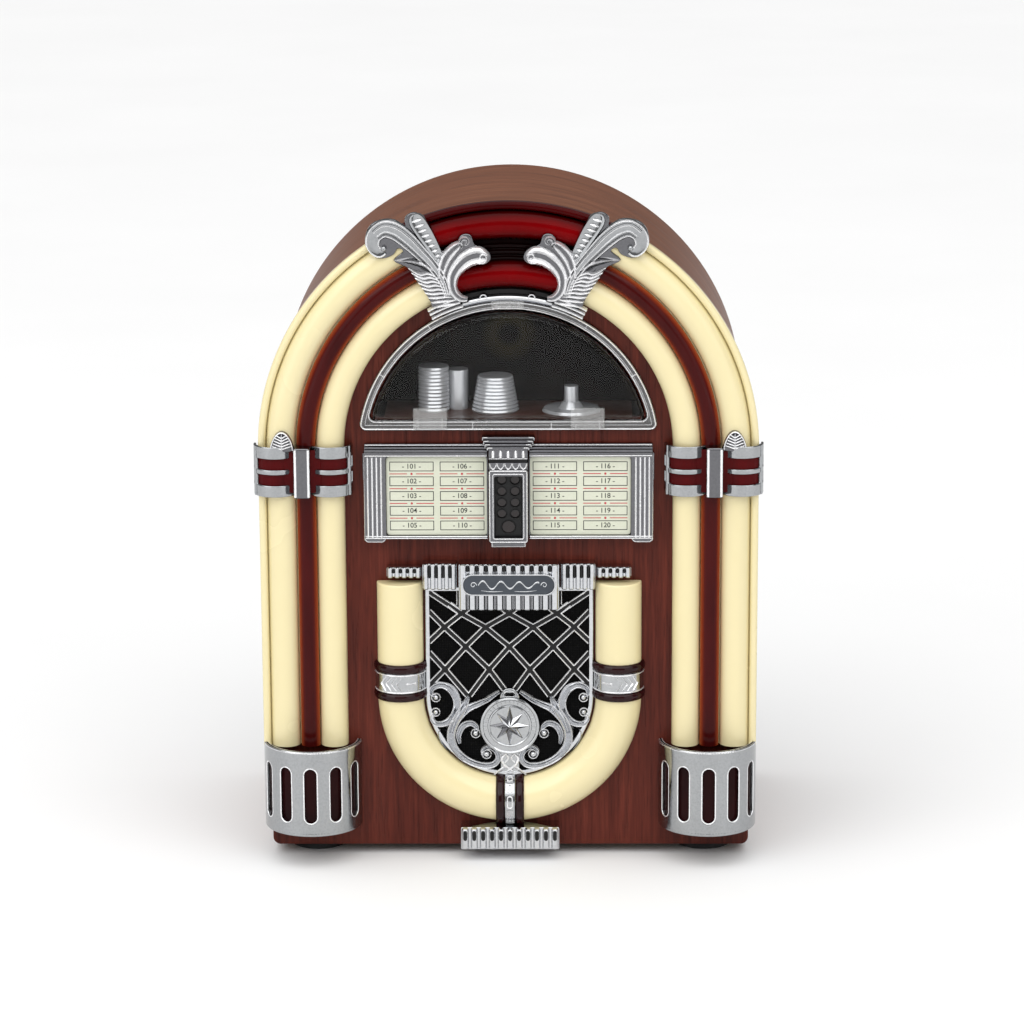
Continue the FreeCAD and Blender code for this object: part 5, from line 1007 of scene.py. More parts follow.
def build_window():
    high = FACE - BEZEL.y0
    bezel = Shape()
    outer, inner = lunette(BEZEL.z1 - ARC_Z, BEZEL.z0, 3.5), lunette(COVER.z1 - ARC_Z + 1.0, COVER.z0 - 0.4,
            2.5)
    plate(bezel, [outer, inner], 0.1, high - 0.6, 0.8)
    bezel.make("bezel_body", BEZEL_CLEAR, "clear_plastic", "window_bezel")
    lines = Shape()
    for loop, half, tall in ((inset(clean(outer), 0.9), 0.55, 1.3), (inset(clean(inner), -0.8), 0.45, 1.2),
            (inset(clean(outer), 3.0), 0.22, 0.7)):
        stroke(lines, loop + loop[:2], half, tall, high - 1.1)
    for a in (31, 58, 122, 149):
        c, s = math.cos(math.radians(a)), math.sin(math.radians(a))
        reach = (COVER.z1 - ARC_Z + 1.4, BEZEL.z1 - ARC_Z - 0.6)
        stroke(lines, [(r * c, ARC_Z + r * s) for r in reach], 0.35, 1.0, high - 1.0)
    for x in (-18.5, 22.5):
        stroke(lines, [(x, z) for z in (BEZEL.z0 + 1.2, COVER.z0 - 0.8)], 0.35, 1.0, high - 1.0)
    lines.make("bezel_lines", HIGHLIGHT_CHROME, "chrome_trim")

    cover = Shape()
    dome(cover, COVER.z1 - ARC_Z, COVER.z0, 3.0, FACE - COVER.y0, 3.2, 1.4)
    cover.make("clear_dome", CLEAR, "clear_plastic", "window_cover", sharp=60)

    clips = Shape()
    for x0, x1, z0, z1 in ((-8.5, 8.5, 298.2, 303.0), (-49.6, -31.8, 234.6, 246.0),
            (32.6, 50.2, 234.6, 246.0)):
        plate(clips, [round_box(x0, z0, x1, z1, 0.8)], high + 0.05, high + 1.9, 0.5)
        for x in (x0 + 2.6, x1 - 2.6):
            plate(clips, [round_box(x - 0.6, z0 + 0.5, x + 0.6, z1 - 0.5, 0.4)], high + 1.9, high + 2.5, 0.3)
    clips.make("clip_bars", CLIP, "clear_plastic", "window_clips")


# ---------------------------------------------------------------- title cards and selector
TITLES = Room("title_holders")
CARDS = Room("title_cards")
CARD_PROUD = FACE - CARDS.y0
ROWS, BOX_WIDE, BOX_TALL, ROW_PITCH, COLUMN_PITCH = 5, 23.2, 5.2, 7.95, 26.4


def lettering(text, x, z, h, size):
    """Flat digits centred on a point of the front."""
    curve = bpy.data.curves.new("digits", "FONT")
    curve.body, curve.size, curve.offset, curve.align_x, curve.align_y = text, size, 0.05, "CENTER", "CENTER"
    thing = bpy.data.objects.new("digits", curve)
    bpy.context.scene.collection.objects.link(thing)
    bpy.context.view_layer.update()
    flat = bpy.data.meshes.new_from_object(thing.evaluated_get(bpy.context.evaluated_depsgraph_get()))
    verts = [on_face(x + v.co.x, z + v.co.y, h) for v in flat.vertices]
    faces = [tuple(p.vertices) for p in flat.polygons]
    bpy.data.objects.remove(thing)
    bpy.data.curves.remove(curve)
    bpy.data.meshes.remove(flat)
    return verts, faces


def build_titles():
    top = FACE - TITLES.y0
    z0, z1 = CARDS.z0, CARDS.z1
    # dark holds the frames, ledges, pillars and tabs in the shade chrome: painted shade; metal holds their
    # lines in the highlight chrome: painted highlight
    metal, dark, paper, black, red = Shape(), Shape(), Shape(), Shape(), Shape()
    for side in (1, -1):
        mid = side * (CARDS.x1 - 26.5)
        left, right = sorted((side * 10.8, side * (TITLES.x1 - 1.0)))
        near, far = sorted((side * 11.0, side * 64.4))
        # frame with the card's opening, the sloping ledge above it and a bright line round them
        plate(dark, [round_box(left, z0 - 2.0, right, z1 + 2.2, 0.8), round_box(near + 0.3, z0 - 0.2,
                far - 0.3, z1 + 0.2, 1.2)], 0.2, top - 0.9, 0.5)
        for low, high, out in ((z1 + 1.2, z1 + 2.6, top), (z1 + 2.2, z1 + 4.0, top - 1.0),
                (z1 + 3.6, z1 + 5.2, top - 2.6), (z1 + 4.6, z1 + 6.5, top - 4.6)):
            plate(dark, [round_box(left, low, right, high, 0.4)], 0.2, out, 0.4)
        for z, out in ((z1 + 1.1, top - 0.4), (z1 + 5.9, top - 4.9), (z0 - 1.5, top - 1.2),
                (z0 - 0.5, top - 1.2)):
            stroke(metal, [(left + 0.4, z), (right - 0.4, z)], 0.32, 0.7, out)
        # fluted end pillar on a rounded foot
        end = [side * 64.6, side * 75.7]
        px0, px1 = min(end), max(end)
        plate(dark, [round_box(px0, 174.2, px1, z1 + 2.2, 1.4)], 0.3, top - 1.9, 0.5)
        outline = [(px0 + 0.3, z1 + 1.4), (px0 + 0.3, 175.6), (px0 + 1.6, 174.4), (px1 - 1.6, 174.4),
                (px1 - 0.3, 175.6), (px1 - 0.3, z1 + 1.4)]
        stroke(metal, outline, 0.36, 0.8, top - 2.2)
        for i in range(4):
            x = side * (66.6 + 2.35 * i)
            ridge(metal, [(x, 176.3, 0.3, 0.6), (x, 177.0, 0.74, 2.0), (x, z1 + 0.2, 0.74, 2.0),
                    (x, z1 + 0.9, 0.3, 0.8)], ROUND, top - 2.2, 0)
        tab = [side * 75.0, side * 76.3]
        plate(dark, [round_box(min(tab), 207.4, max(tab), 222.0, 0.5)], 0.4, top - 3.0, 0.4)
        # card, its boxes, digits and red rules
        plate(paper, [round_box(mid - 26.5, z0, mid + 26.5, z1, 1.6)], CARD_PROUD - 1.0, CARD_PROUD, 0.15)
        ink_h = CARD_PROUD + 0.02
        for column in range(2):
            cx = mid + (column - 0.5) * COLUMN_PITCH
            for row in range(ROWS):
                cz = (z0 + z1) / 2 + (ROWS // 2 - row) * ROW_PITCH
                x0, x1, b0, b1 = cx - BOX_WIDE / 2, cx + BOX_WIDE / 2, cz - BOX_TALL / 2, cz + BOX_TALL / 2
                plate(black, [round_box(x0, b0, x1, b1, 0.2, 2), round_box(x0 + 0.42, b0 + 0.42, x1 - 0.42,
                        b1 - 0.42, 0.15, 2)], ink_h - 0.03, ink_h, 0.01, steps=1, back=False)
                number = 101 + row + ROWS * column + (2 * ROWS if side > 0 else 0)
                black.add(*lettering(f"- {number} -", cx, cz, ink_h, 3.7))
                if row < ROWS - 1:
                    rz = cz - ROW_PITCH / 2
                    for a, b in ((x0, cx - 2.3), (cx + 2.3, x1)):
                        plate(red, [round_box(a, rz - 0.23, b, rz + 0.23, 0.1, 2)], ink_h - 0.03, ink_h, 0.01,
                                steps=1, back=False)
                    plate(red, [arc(cx, rz, 0.62, 0, 345, 15)], ink_h - 0.03, ink_h, 0.01, steps=1,
                            back=False)
    metal.make("title_lines", HIGHLIGHT_CHROME, "chrome_trim", "title_holders")
    dark.make("title_frames", SHADE_CHROME, "chrome_trim")
    paper.make("title_paper", PAPER, "title_paper", "title_cards")
    black.make("title_boxes", BLACK_INK, "title_paper")
    red.make("title_rules", RED_INK, "title_paper")


HOUSE = Room("selector_housing")
SELECTOR_PLATE = Room("selector_plate")
HOLES = [(x, z, 2.35) for z in (208.4, 202.3, 196.2, 190.2) for x in (-3.5, 3.5)] + [(0, 183.2, 3.5)]


def build_selector():
    # dim holds the cast frame, cap and bars in the shade chrome: painted shade; metal holds the lines and
    # teeth in the highlight chrome: painted highlight
    metal, dim = Shape(), Shape()
    z0, z1 = 175.2, 214.6
    high = FACE - HOUSE.y0 - 1.4
    plate(dim, [round_box(-10.3, z0, 10.3, z1, 1.6), round_box(-7.2, z0 + 2.2, 7.2, z1 - 3.6, 0.9)], 0.3,
            high - 0.4, 0.5)
    for gap in (0.6, 2.3):
        loop = round_box(gap - 10.3, z0 + gap, 10.3 - gap, z1 - gap, 0.9, 3)
        stroke(metal, loop + loop[:2], 0.36, 0.9, high - 0.7)
    plate(dim, [round_box(-9.2, z0 - 2.7, 9.2, z0 + 0.4, 0.7)], 0.3, high - 2.6, 0.6)
    for x in (-8.6, 8.6):
        stroke(metal, [(x, z0 - 2.4), (x, z0 - 0.2)], 0.3, 0.7, high - 2.8)
    stroke(metal, [(-8.8, z0 - 2.3), (8.8, z0 - 2.3)], 0.34, 0.8, high - 2.9)
    # stepped dark cap, with two rows of bright teeth under it
    steps = ((13.8, 228.9, 230.8, high - 6.4), (13.2, 227.4, 229.3, high - 4.4),
            (12.4, 226.1, 227.9, high - 2.4), (11.2, 225.0, 226.6, high - 0.6))
    for x, low, top, near in steps:
        plate(dim, [round_box(-x, low, x, top, 0.6)], 0.3, near, 0.5)
        for way in (1, -1):
            stroke(metal, [(way * (x - 3.0), top - 0.3), (way * (x - 0.7), top - 0.3),
                    (way * (x - 0.35), top - 0.7), (way * (x - 0.35), low + 0.2)], 0.26, 0.6, near - 0.3)
    plate(dim, [round_box(-10.2, 220.6, 10.2, 225.3, 0.5)], 0.3, high - 1.6, 0.4)
    plate(dim, [round_box(-10.2, 214.2, 10.2, 218.2, 0.5)], 0.3, high - 1.4, 0.4)
    for i in range(5):
        x = -7.9 + 3.95 * i
        ridge(metal, [(x, 221.0, 0.9, 1.7), (x, 223.6, 0.95, 2.0), (x, 224.8, 0.5, 1.2)], ROUND, high - 1.9,
                3)
        ridge(metal, [(x - 1.7, 217.9, 0.3, 0.8), (x - 1.3, 216.0, 0.45, 1.2), (x, 214.9, 0.5, 1.5),
                (x + 1.3, 216.0, 0.45, 1.2), (x + 1.7, 217.9, 0.3, 0.8)], ROUND, high - 1.6, 3)
    for z in (220.4, 225.2):
        stroke(metal, [(-10.0, z), (10.0, z)], 0.28, 0.7, high - 1.5)
    metal.make("selector_lines", HIGHLIGHT_CHROME, "chrome_trim", "selector_housing")
    dim.make("selector_cast", SHADE_CHROME, "chrome_trim")
    dark = Shape()
    plate(dark, [round_box(-9.9, 218.0, 9.9, 220.8, 0.3)], 0.4, high - 2.4, 0.3)
    front = FACE - SELECTOR_PLATE.y0
    rings = [arc(x, z, r, 0, 352, 44) for x, z, r in HOLES]
    plate(dark, [round_box(SELECTOR_PLATE.x0, SELECTOR_PLATE.z0, SELECTOR_PLATE.x1, SELECTOR_PLATE.z1, 0.5)]
            + rings, front - 2.0, front, 0.25)
    for x, z, r in HOLES:
        revolve(dark, [(r - 0.02, front - 1.0), (r - 0.05, front + 0.1), (r + 0.15, front + 0.32),
                (r + 0.4, front + 0.3), (r + 0.55, front)], lambda a, b, h, x=x,
                z=z: on_face(x + a, z + b, h), 36)
    dark.make("selector_face", BLACK, "black_plastic", "selector_plate")


# ---------------------------------------------------------------- grille
def flutes(shape, middle, wide, low, high, front, count, half_share=0.42):
    """A row of upright rounded flutes."""
    pitch = wide / count
    half = pitch * half_share
    for i in range(count):
        x = middle + (i - (count - 1) / 2) * pitch
        ridge(shape, [(x, low, half * 0.55, 0.5), (x, low + 0.25, half * 0.85, 1.6),
                (x, low + 0.9, half, 2.4), (x, high - 0.9, half, 2.4), (x, high - 0.25, half * 0.85, 1.6),
                (x, high, half * 0.55, 0.5)], ROUND, front - 2.4, 0)


def shade_plates(shape, middle, wide, low, high, front, count, between, share=0.14):
    """Black round-ended plates that paint shade and dark reflection: on the upper part of a row of flutes, or
    between them.
    """
    pitch = wide / count
    for i in range(count - 1 if between else count):
        x = middle + (i - (count - (2 if between else 1)) / 2) * pitch
        half = pitch * share
        loop = arc(x, high - 1.2 - half, half, 0, 180, 8) + arc(x, low + half, half, 180, 360, 8)
        plate(shape, [loop], front - 2.6, front - (0.35 if between else -0.12), 0.15, steps=1)


def build_header():
    head, shade_sheets, seam_shade = Shape(), Shape(), Shape()
    for middle, wide, low, high, front, count in ((0, 52.8, 138.4, 163.8, 13.1, 11),
            (36.4, 18.2, 148.8, 163.4, 9.9, 5), (-36.4, 18.2, 148.8, 163.4, 9.9, 5),
            (55.2, 18.4, 154.6, 161.1, 8.0, 5), (-55.2, 18.4, 154.6, 161.1, 8.0, 5)):
        plate(head, [round_box(middle - wide / 2, low + 0.6, middle + wide / 2, high - 0.3, 0.8)], 0.2,
                front - 1.7, 0.6)
        flutes(head, middle, wide, low, high, front, count)
        upper = 159.6 if count == 11 else low + 0.45 * (high - low)
        # black plates between the flutes' upper parts: painted shade
        shade_plates(shade_sheets, middle, wide, upper, high, front, count, True)
        pitch = wide / count
        for i in range(count - 1):
            x = middle + (i - (count - 2) / 2) * pitch
            stroke(head, arc(x, high - 1.5, pitch * 0.26, -5, 185, 10), 0.36, 0.8, front - 1.0)
    # thin dark plates between the lower flutes: painted shade
    shade_plates(seam_shade, 0, 52.8, 139.0, 148.0, 13.1, 11, True, 0.07)
    plate(head, [dense(round_box(-24.7, 147.1, 24.7, 158.7, 5.8, 10), 3),
            round_box(-23.9, 147.8, 23.9, 158.0, 5.0, 10)], 11.0, 14.3, 0.3)
    head.make("header_cast", CHROME, "chrome_trim", "grille_header")
    seam_shade.make("header_seam_shade", SHADE_CHROME, "chrome_trim")
    shade_sheets.make("header_painted_shade", BLACK, "black_plastic")
    name = Room("nameplate")
    plaque = Shape()
    plate(plaque, [round_box(name.x0, name.z0, name.x1, name.z1, 5.0, 10)], 12.0, FACE - name.y0 - 0.6, 0.4)
    plaque.make("plaque", SLATE, "chrome_trim", "nameplate")
    sign = Shape()
    front = FACE - name.y0 - 0.7
    wave = [(-16 + 32 * t, 152.9 + 2.3 * math.sin(21 * t) * (1 - 0.35 * t), 0.3 + 0.2 * math.sin(21 * t) ** 2,
            0.45) for t in (i / 70 for i in range(71))]
    ridge(sign, wave, ROUND, front, 2)
    for side in (1, -1):
        ridge(sign, volute(side * 18.6, 152.9, 90 + 90 * side, -side * 400, 1.7, 0.4, 18, 0.3, 0.45), ROUND,
                front, 2)
        ridge(sign, [(side * 3.0, 149.6, 0.1, 0.3), (side * 9.0, 149.4, 0.25, 0.4),
                (side * 14.6, 150.0, 0.1, 0.3)], ROUND, front)
    sign.make("plaque_flourish", SILVER, "chrome_trim")


RAIL_BASE = 1.4                                # how far the lattice's bright rails start above the face
LATTICE_ROWS = ((134.1, (-25.2, 0, 25.2)), (126.7, (-34.4, -12.6, 12.6, 34.4)), (115.9, (-23.2, 0, 23.2)),
        (103.4, (-34.2, -10.8, 10.8, 34.2)), (88.2, (-21.8, 0, 21.8)))


def build_lattice():
    grid, groove_shade, lines = Shape(), Shape(), Shape()
    rail = 1.3

    def bar(a, b, free=False):
        """A sunk strip, black as painted shade in the bar's groove, between two rails that stop short where
        they meet the next bar's rails.
        """
        ridge(groove_shade, [(a[0], a[1], rail, 1.0), (b[0], b[1], rail, 1.0)],
                [(-1, 0), (-1, 0.9), (0, 0.8), (1, 0.9), (1, 0)], 0.7, 0)
        ahead = Vector((b[0] - a[0], b[1] - a[1]))
        steep = abs(ahead.y / ahead.x)
        ahead.normalize()
        for out in (Vector((-ahead.y, ahead.x)) * rail, Vector((ahead.y, -ahead.x)) * rail):
            upright = out.y * ahead.y > 0
            start = Vector(a) + out + ahead * rail * (steep if upright else 1 / steep)
            end = Vector(b) + out - ahead * (0 if free else rail * (1 / steep if upright else steep))
            stroke(lines, [start, end], 0.42, 1.0, RAIL_BASE)
    for (z_a, xs_a), (z_b, xs_b) in zip(LATTICE_ROWS, LATTICE_ROWS[1:]):
        for x in xs_a:
            for other in xs_b:
                if 8 < abs(x - other) < 16:
                    bar((x, z_a), (other, z_b))
    for side in (1, -1):
        edge = side * 42.6
        for z, z_rim in ((126.7, 135.5), (126.7, 118.6), (103.4, 112.8), (103.4, 94.6)):
            bar((side * 34.3, z), (edge, z_rim), True)
        bar((side * 25.2, 134.1), (edge, 146.2), True)
        bar((side * 25.2, 134.1), (side * 34.4, 126.7))
        corner = [(side * 27.6, 146.6), (side * 27.6, 139.2), (side * 28.8, 138.2), (side * 40.0, 145.6),
                (side * 40.4, 146.6)]
        stroke(lines, corner, 0.36, 0.9, RAIL_BASE)
    for x in (-25.2, 0, 25.2):
        for way in (1, -1):
            bar((x, 134.1), (x + way * 6.4, 139.4), True)
    for x in (-12.6, 12.6):
        stroke(lines, [(x - 9.4, 136.6), (x + 9.4, 136.6)], 0.3, 0.8, RAIL_BASE)
    plate(grid, [grille_outline(44.4, 148.8, TUBE_Z), grille_outline(42.2, 146.6, TUBE_Z)], 0.7, 2.6, 0.5)
    for side in (1, -1):
        build_scrolls(grid, lines, side)
    grid.make("lattice_cast", CHROME, "chrome_trim", "grille_lattice", sharp=50)
    groove_shade.make("lattice_groove_shade", BLACK, "black_plastic")
    lines.make("lattice_lines", HIGHLIGHT_CHROME, "chrome_trim")


def build_scrolls(grid, lines, side):
    """Acanthus scrolls beside the medallion, on one side."""
    def line(points, section=TWIN, edged=True):
        turned = [(side * -x, z, w, h) for x, z, w, h in points]
        ridge(grid, turned, section, 0.8, 5)
        if edged:
            edge_lines(lines, turned, 0.78, 0.3, 0.25, 0.8, 5)
    line([(-39.0, 88.6, 0.7, 1.6), (-41.6, 90.2, 1.0, 2.4), (-40.6, 93.6, 1.5, 2.8), (-35.6, 95.2, 2.0, 3.0),
            (-30.4, 92.0, 2.3, 3.1), (-27.9, 85.6, 2.4, 3.1), (-29.4, 79.0, 2.3, 3.1),
            (-33.8, 74.4, 2.0, 3.0), (-38.8, 73.6, 1.6, 2.8), (-41.4, 76.4, 1.2, 2.4),
            (-40.0, 79.2, 0.8, 1.8)])
    line([(-21.8, 88.6, 0.8, 2.2), (-24.4, 83.0, 2.2, 3.0), (-28.2, 76.4, 2.6, 3.3), (-31.0, 69.6, 2.6, 3.4),
            (-30.8, 63.0, 2.5, 3.4), (-27.2, 57.2, 2.3, 3.3), (-21.8, 53.0, 2.1, 3.2),
            (-15.4, 50.6, 2.0, 3.1), (-9.4, 50.8, 1.9, 3.0), (-6.2, 54.2, 1.7, 2.9), (-7.4, 58.4, 1.5, 2.8),
            (-11.0, 60.4, 1.3, 2.6), (-14.4, 58.6, 1.1, 2.4), (-14.2, 55.6, 0.8, 2.0)])
    line([(-26.6, 62.0, 0.6, 2.4), (-27.2, 67.6, 1.6, 3.0), (-24.8, 72.6, 1.9, 3.2), (-20.6, 74.0, 1.7, 3.0),
            (-17.6, 71.6, 1.3, 2.6), (-18.4, 68.6, 0.8, 2.0)])
    line([(-30.6, 68.0, 0.6, 2.4), (-27.4, 76.0, 1.7, 2.9), (-22.4, 82.0, 2.2, 3.1), (-16.6, 84.8, 1.8, 3.1),
            (-11.4, 87.2, 1.3, 3.0), (-7.6, 89.8, 0.9, 2.8), (-5.0, 91.4, 0.5, 2.4)])
    line([(-27.4, 82.0, 0.7, 2.4), (-23.6, 86.4, 1.3, 2.8), (-21.6, 89.0, 0.9, 2.6)], KEEL, False)
    line([(-29.6, 78.0, 0.4, 2.0), (-33.4, 70.0, 1.0, 2.6), (-34.6, 64.0, 0.3, 1.8)], KEEL, False)
    line([(-33.8, 73.0, 0.6, 2.0), (-37.8, 69.0, 1.1, 2.4), (-36.4, 62.8, 0.9, 2.4), (-32.0, 57.6, 0.4, 2.0)],
            KEEL, False)
    for x, z, r in ((-39.2, 87.9, 1.5), (-39.4, 79.8, 1.4), (-18.2, 68.0, 1.6), (-12.4, 56.4, 1.6)):
        ball(grid, side * -x, z, 2.0, r, 0.9)
        stroke(lines, arc(side * -x, z, r + 0.8, 0, 345, 24), 0.34, 0.9, 1.8)


def build_medallion():
    cast, bright, dim, lines = Shape(), Shape(), Shape(), Shape()
    low = 1.0
    revolve(cast, [(15.9, low), (15.9, 4.6), (15.6, 5.4), (14.9, 5.7), (14.3, 5.4), (14.0, 5.0), (11.8, 5.0),
            (11.5, 5.5), (11.0, 5.7), (10.6, 5.4), (10.4, 4.7), (5.0, 4.9), (0.05, 5.0)], lambda a, b,
            h: on_face(a, MEDAL_Z + b, h), 96)
    for i in range(36):
        a = math.radians(10 * i)
        c, s = math.cos(a), math.sin(a)
        if s > -0.2:
            stroke(cast, [(r * c, MEDAL_Z + r * s) for r in (12.2, 13.6)], 0.3, 0.35, 4.9)
    points = 8
    for i in range(points):
        a = 2 * math.pi * i / points + math.pi / 2
        reach = 11.0 if i % 2 == 0 else 9.8
        half = math.pi / points
        tip = on_face(reach * math.cos(a), MEDAL_Z + reach * math.sin(a), 5.1)
        sides = [on_face(4.4 * math.cos(a + d), MEDAL_Z + 4.4 * math.sin(a + d), 5.1) for d in (half, -half)]
        crest = on_face(0, MEDAL_Z, 7.6)
        # one side of each star point in bright chrome and the other in the shade chrome: painted light and
        # shade on the facets
        bright.add([crest, sides[0], tip], [(0, 1, 2)])
        dim.add([crest, tip, sides[1]], [(0, 1, 2)])
    # loop on top
    z = MEDAL_Z + 15.4
    plate(cast, [arc(0, z, 5.2, -4, 184, 24), round_box(-2.6, z + 0.9, 2.6, z + 2.6, 0.8)], low, 4.8, 0.7)
    stroke(cast, arc(0, z, 3.9, 8, 172, 16), 0.5, 0.9, 4.5)
    # knotwork below and the strap over the tube
    plate(cast, [round_box(-5.0, 45.4, 5.0, 59.0, 2.2)], 0.8, 2.4, 0.5)
    for side in (1, -1):
        ridge(lines, [(side * 1.2, 57.6, 0.4, 0.8), (side * 4.4, 54.2, 0.8, 1.3),
                (side * 2.6, 50.2, 0.7, 1.3), (-side * 1.6, 47.2, 0.4, 1.0)], ROUND, 2.4)
        ridge(lines, [(side * 8.6, 45.0, 0.3, 0.8), (side * 5.0, 47.6, 0.8, 1.3),
                (side * 1.6, 50.0, 0.6, 1.2)], KEEL, 2.4)
        ridge(lines, [(side * 4.4, 58.2, 0.4, 0.8), (side * 0.8, 55.0, 0.6, 1.3),
                (side * 2.6, 51.8, 0.5, 1.2)], ROUND, 2.2)
    strap_mid = TUBE_Z - TUBE_X
    reach = TUBE_R + 1.5

    def over_tube(u, v, h):
        a = v / reach
        return (u, FACE - (reach - 1.4 + h) * math.cos(a), strap_mid + (reach - 1.4 + h) * math.sin(a))
    top, base = reach * math.radians(86), -reach * math.radians(84)
    plate(cast, [dense([(-2.7, base), (2.7, base), (2.7, top), (-2.7, top)], 1.4)], 0, 1.6, 0.4, over_tube,
            pitch=1.3)
    for v0, v1, half in ((13.0, 17.5, 1.7), (6.6, 11.6, 1.5), (-1.6, 5.0, 1.6)):
        loop = dense(round_box(-half, v0, half, v1, half * 0.9, 6), 0.8)
        plate(lines, [loop, inset(clean(loop), 0.62)], 1.4, 2.3, 0.25, over_tube)
    for x in (-1.5, -0.5, 0.5, 1.5):
        stroke(lines, [(x, v) for v in np.linspace(-9.6, -2.8, 8)], 0.28, 0.7, 1.5, over_tube)
    for v in (5.6, 12.2, -10.8, -12.6):
        stroke(cast, [(u, v + 0.5 * abs(u) * 0.4) for u in np.linspace(-2.3, 2.3, 7)], 0.35, 0.7, 1.5,
                over_tube)
    cast.make("medallion_cast", SOFT_CHROME, "chrome_trim", "medallion", sharp=28)
    bright.make("medallion_star", CHROME, "chrome_trim", sharp=5)
    dim.make("medallion_shade", SHADE_CHROME, "chrome_trim", sharp=5)
    lines.make("medallion_knot", HIGHLIGHT_CHROME, "chrome_trim")


RINGS = ((88.3, 92.8), (103.6, 108.4))         # heights of the red rings round the tube's uprights
BAND_LOW, BAND_HIGH = 92.9, 103.6              # the patterned band between them
RING_IN, RING_OUT = TUBE_R + 0.05, TUBE_R + 2.1


def build_tubes():
    section = [(TUBE_R * math.cos(math.radians(a)), TUBE_R * math.sin(math.radians(a)))
            for a in range(0, 181, 6)]
    split = (RINGS[0][0] + RINGS[1][1]) / 2
    upper = Shape()
    rows = [[on_face(TUBE_X + u * k, z, h * k) for u, h in section] for z,
            k in [(split, 1), (120, 1), (140, 1)] + [(TUBE.z1 - 2.4 + 1.0 * math.sin(math.radians(a)),
            1 - (1 - math.cos(math.radians(a))) * 0.08) for a in (0, 30, 60, 80, 90)]]
    upper.rows(rows, around=True, caps=True)
    upper.mirror().make("tube_uppers", CREAM, "cream_plastic", "upper_tubes")
    lower = Shape()
    rows = [[on_face(TUBE_X + u, z, h) for u, h in section] for z in (split, TUBE_Z)]
    for a in np.linspace(0, -87.2, 46)[1:]:
        c, s = math.cos(math.radians(a)), math.sin(math.radians(a))
        rows.append([on_face((TUBE_X + u) * c, TUBE_Z + (TUBE_X + u) * s, h) for u, h in section])
    lower.rows(rows, around=True, caps=True)
    lower.mirror().make("tube_lowers", CREAM, "cream_plastic", "lower_tubes")

    rings = Shape()
    for low, high in RINGS:
        rings.rows(ring_rows(low, high, RING_IN, RING_OUT), around=True, caps=True)
    rows = []
    for a in np.linspace(-90, 90, 49):
        c, s = math.cos(math.radians(a)), math.sin(math.radians(a))
        rows.append([(x, FACE - r * c, TUBE_Z - TUBE_X + r * s) for x,
                r in bulge(2.9, 7.5, RING_IN, RING_OUT)])
    rings.rows(rows, around=True, caps=True)
    rings.mirror().make("tube_ring_set", MAROON, "red_plastic", "tube_rings")

    band, marks = Shape(), Shape()
    mid, reach = (BAND_LOW + BAND_HIGH) / 2, TUBE_R + 1.2
    half = (BAND_HIGH - BAND_LOW) / 2

    def around(u, v, h):
        a = u / reach
        return (TUBE_X + (reach - 1 + h) * math.sin(a), FACE - (reach - 1 + h) * math.cos(a), mid + v)
    edge = reach * math.radians(89)
    plate(band, [dense([(-edge, -half), (edge, -half), (edge, half), (-edge, half)], 1.5)], 0, 1.0, 0.3,
            around, pitch=1.5)
    for v in (half - 0.7, 0.7 - half):
        stroke(marks, [(u, v) for u in np.linspace(-edge, edge, 40)], 0.4, 0.5, 0.9, around)
    for u in (0.6, 3.4, 6.4, 9.6):
        ridge(marks, [(u - 1.5, half - 1.6, 0.3, 0.6), (u + 1.3, 0, 0.45, 1.0),
                (u - 1.5, 1.6 - half, 0.3, 0.6)], KEEL, 0.9, 0, around)
    ridge(marks, [(-9.0, 0, 0.5, 0.8), (-3.4, 0, 0.5, 0.8)], KEEL, 0.9, 0, around)
    for v in (half - 1.8, 1.8 - half):
        ridge(marks, [(-12.0, v, 0.3, 0.6), (-4.0, v, 0.3, 0.6)], KEEL, 0.9, 0, around)
    band.mirror().make("band_cast", SOFT_CHROME, "chrome_trim", "tube_bands")
    marks.mirror().make("band_chevrons", HIGHLIGHT_CHROME, "chrome_trim")

    badge = Room("base_badge")
    foot = Shape()
    front = FACE - badge.y0
    plate(foot, [round_box(badge.x0, badge.z0, badge.x1, badge.z1, 0.8)], 0.2, front - 1.8, 0.6)
    wide = badge.x1 - badge.x0
    flutes(foot, 0, wide, badge.z0 + 0.1, badge.z1 - 0.1, front, 11)
    foot.make("badge_cast", CHROME, "chrome_trim", "base_badge")
    shade_sheets = Shape()
    # black plates on the flutes' upper halves: painted dark reflection
    shade_plates(shade_sheets, 0, wide, badge.z0 + 5.4, badge.z1 - 0.2, front, 11, False, 0.22)
    shade_sheets.make("badge_painted_reflection", BLACK, "black_plastic")


def bulge(low, high, inner, outer):
    """Cross section of a rounded ring: (place along the tube, radius)."""
    mid, half = (low + high) / 2, (high - low) / 2
    return [(low, inner)] + [(mid - half * math.cos(math.radians(a)), inner
            + (outer - inner) * (0.25 + 0.75 * math.sin(math.radians(a))))
            for a in range(0, 181, 15)] + [(high, inner)]


def ring_rows(low, high, inner, outer):
    """Rows of a rounded ring round the right-hand upright of the tube."""
    rows = []
    for a in np.linspace(-90, 90, 49):
        c, s = math.cos(math.radians(a)), math.sin(math.radians(a))
        rows.append([(TUBE_X + r * s, FACE - r * c, z) for z, r in bulge(low, high, inner, outer)])
    return rows


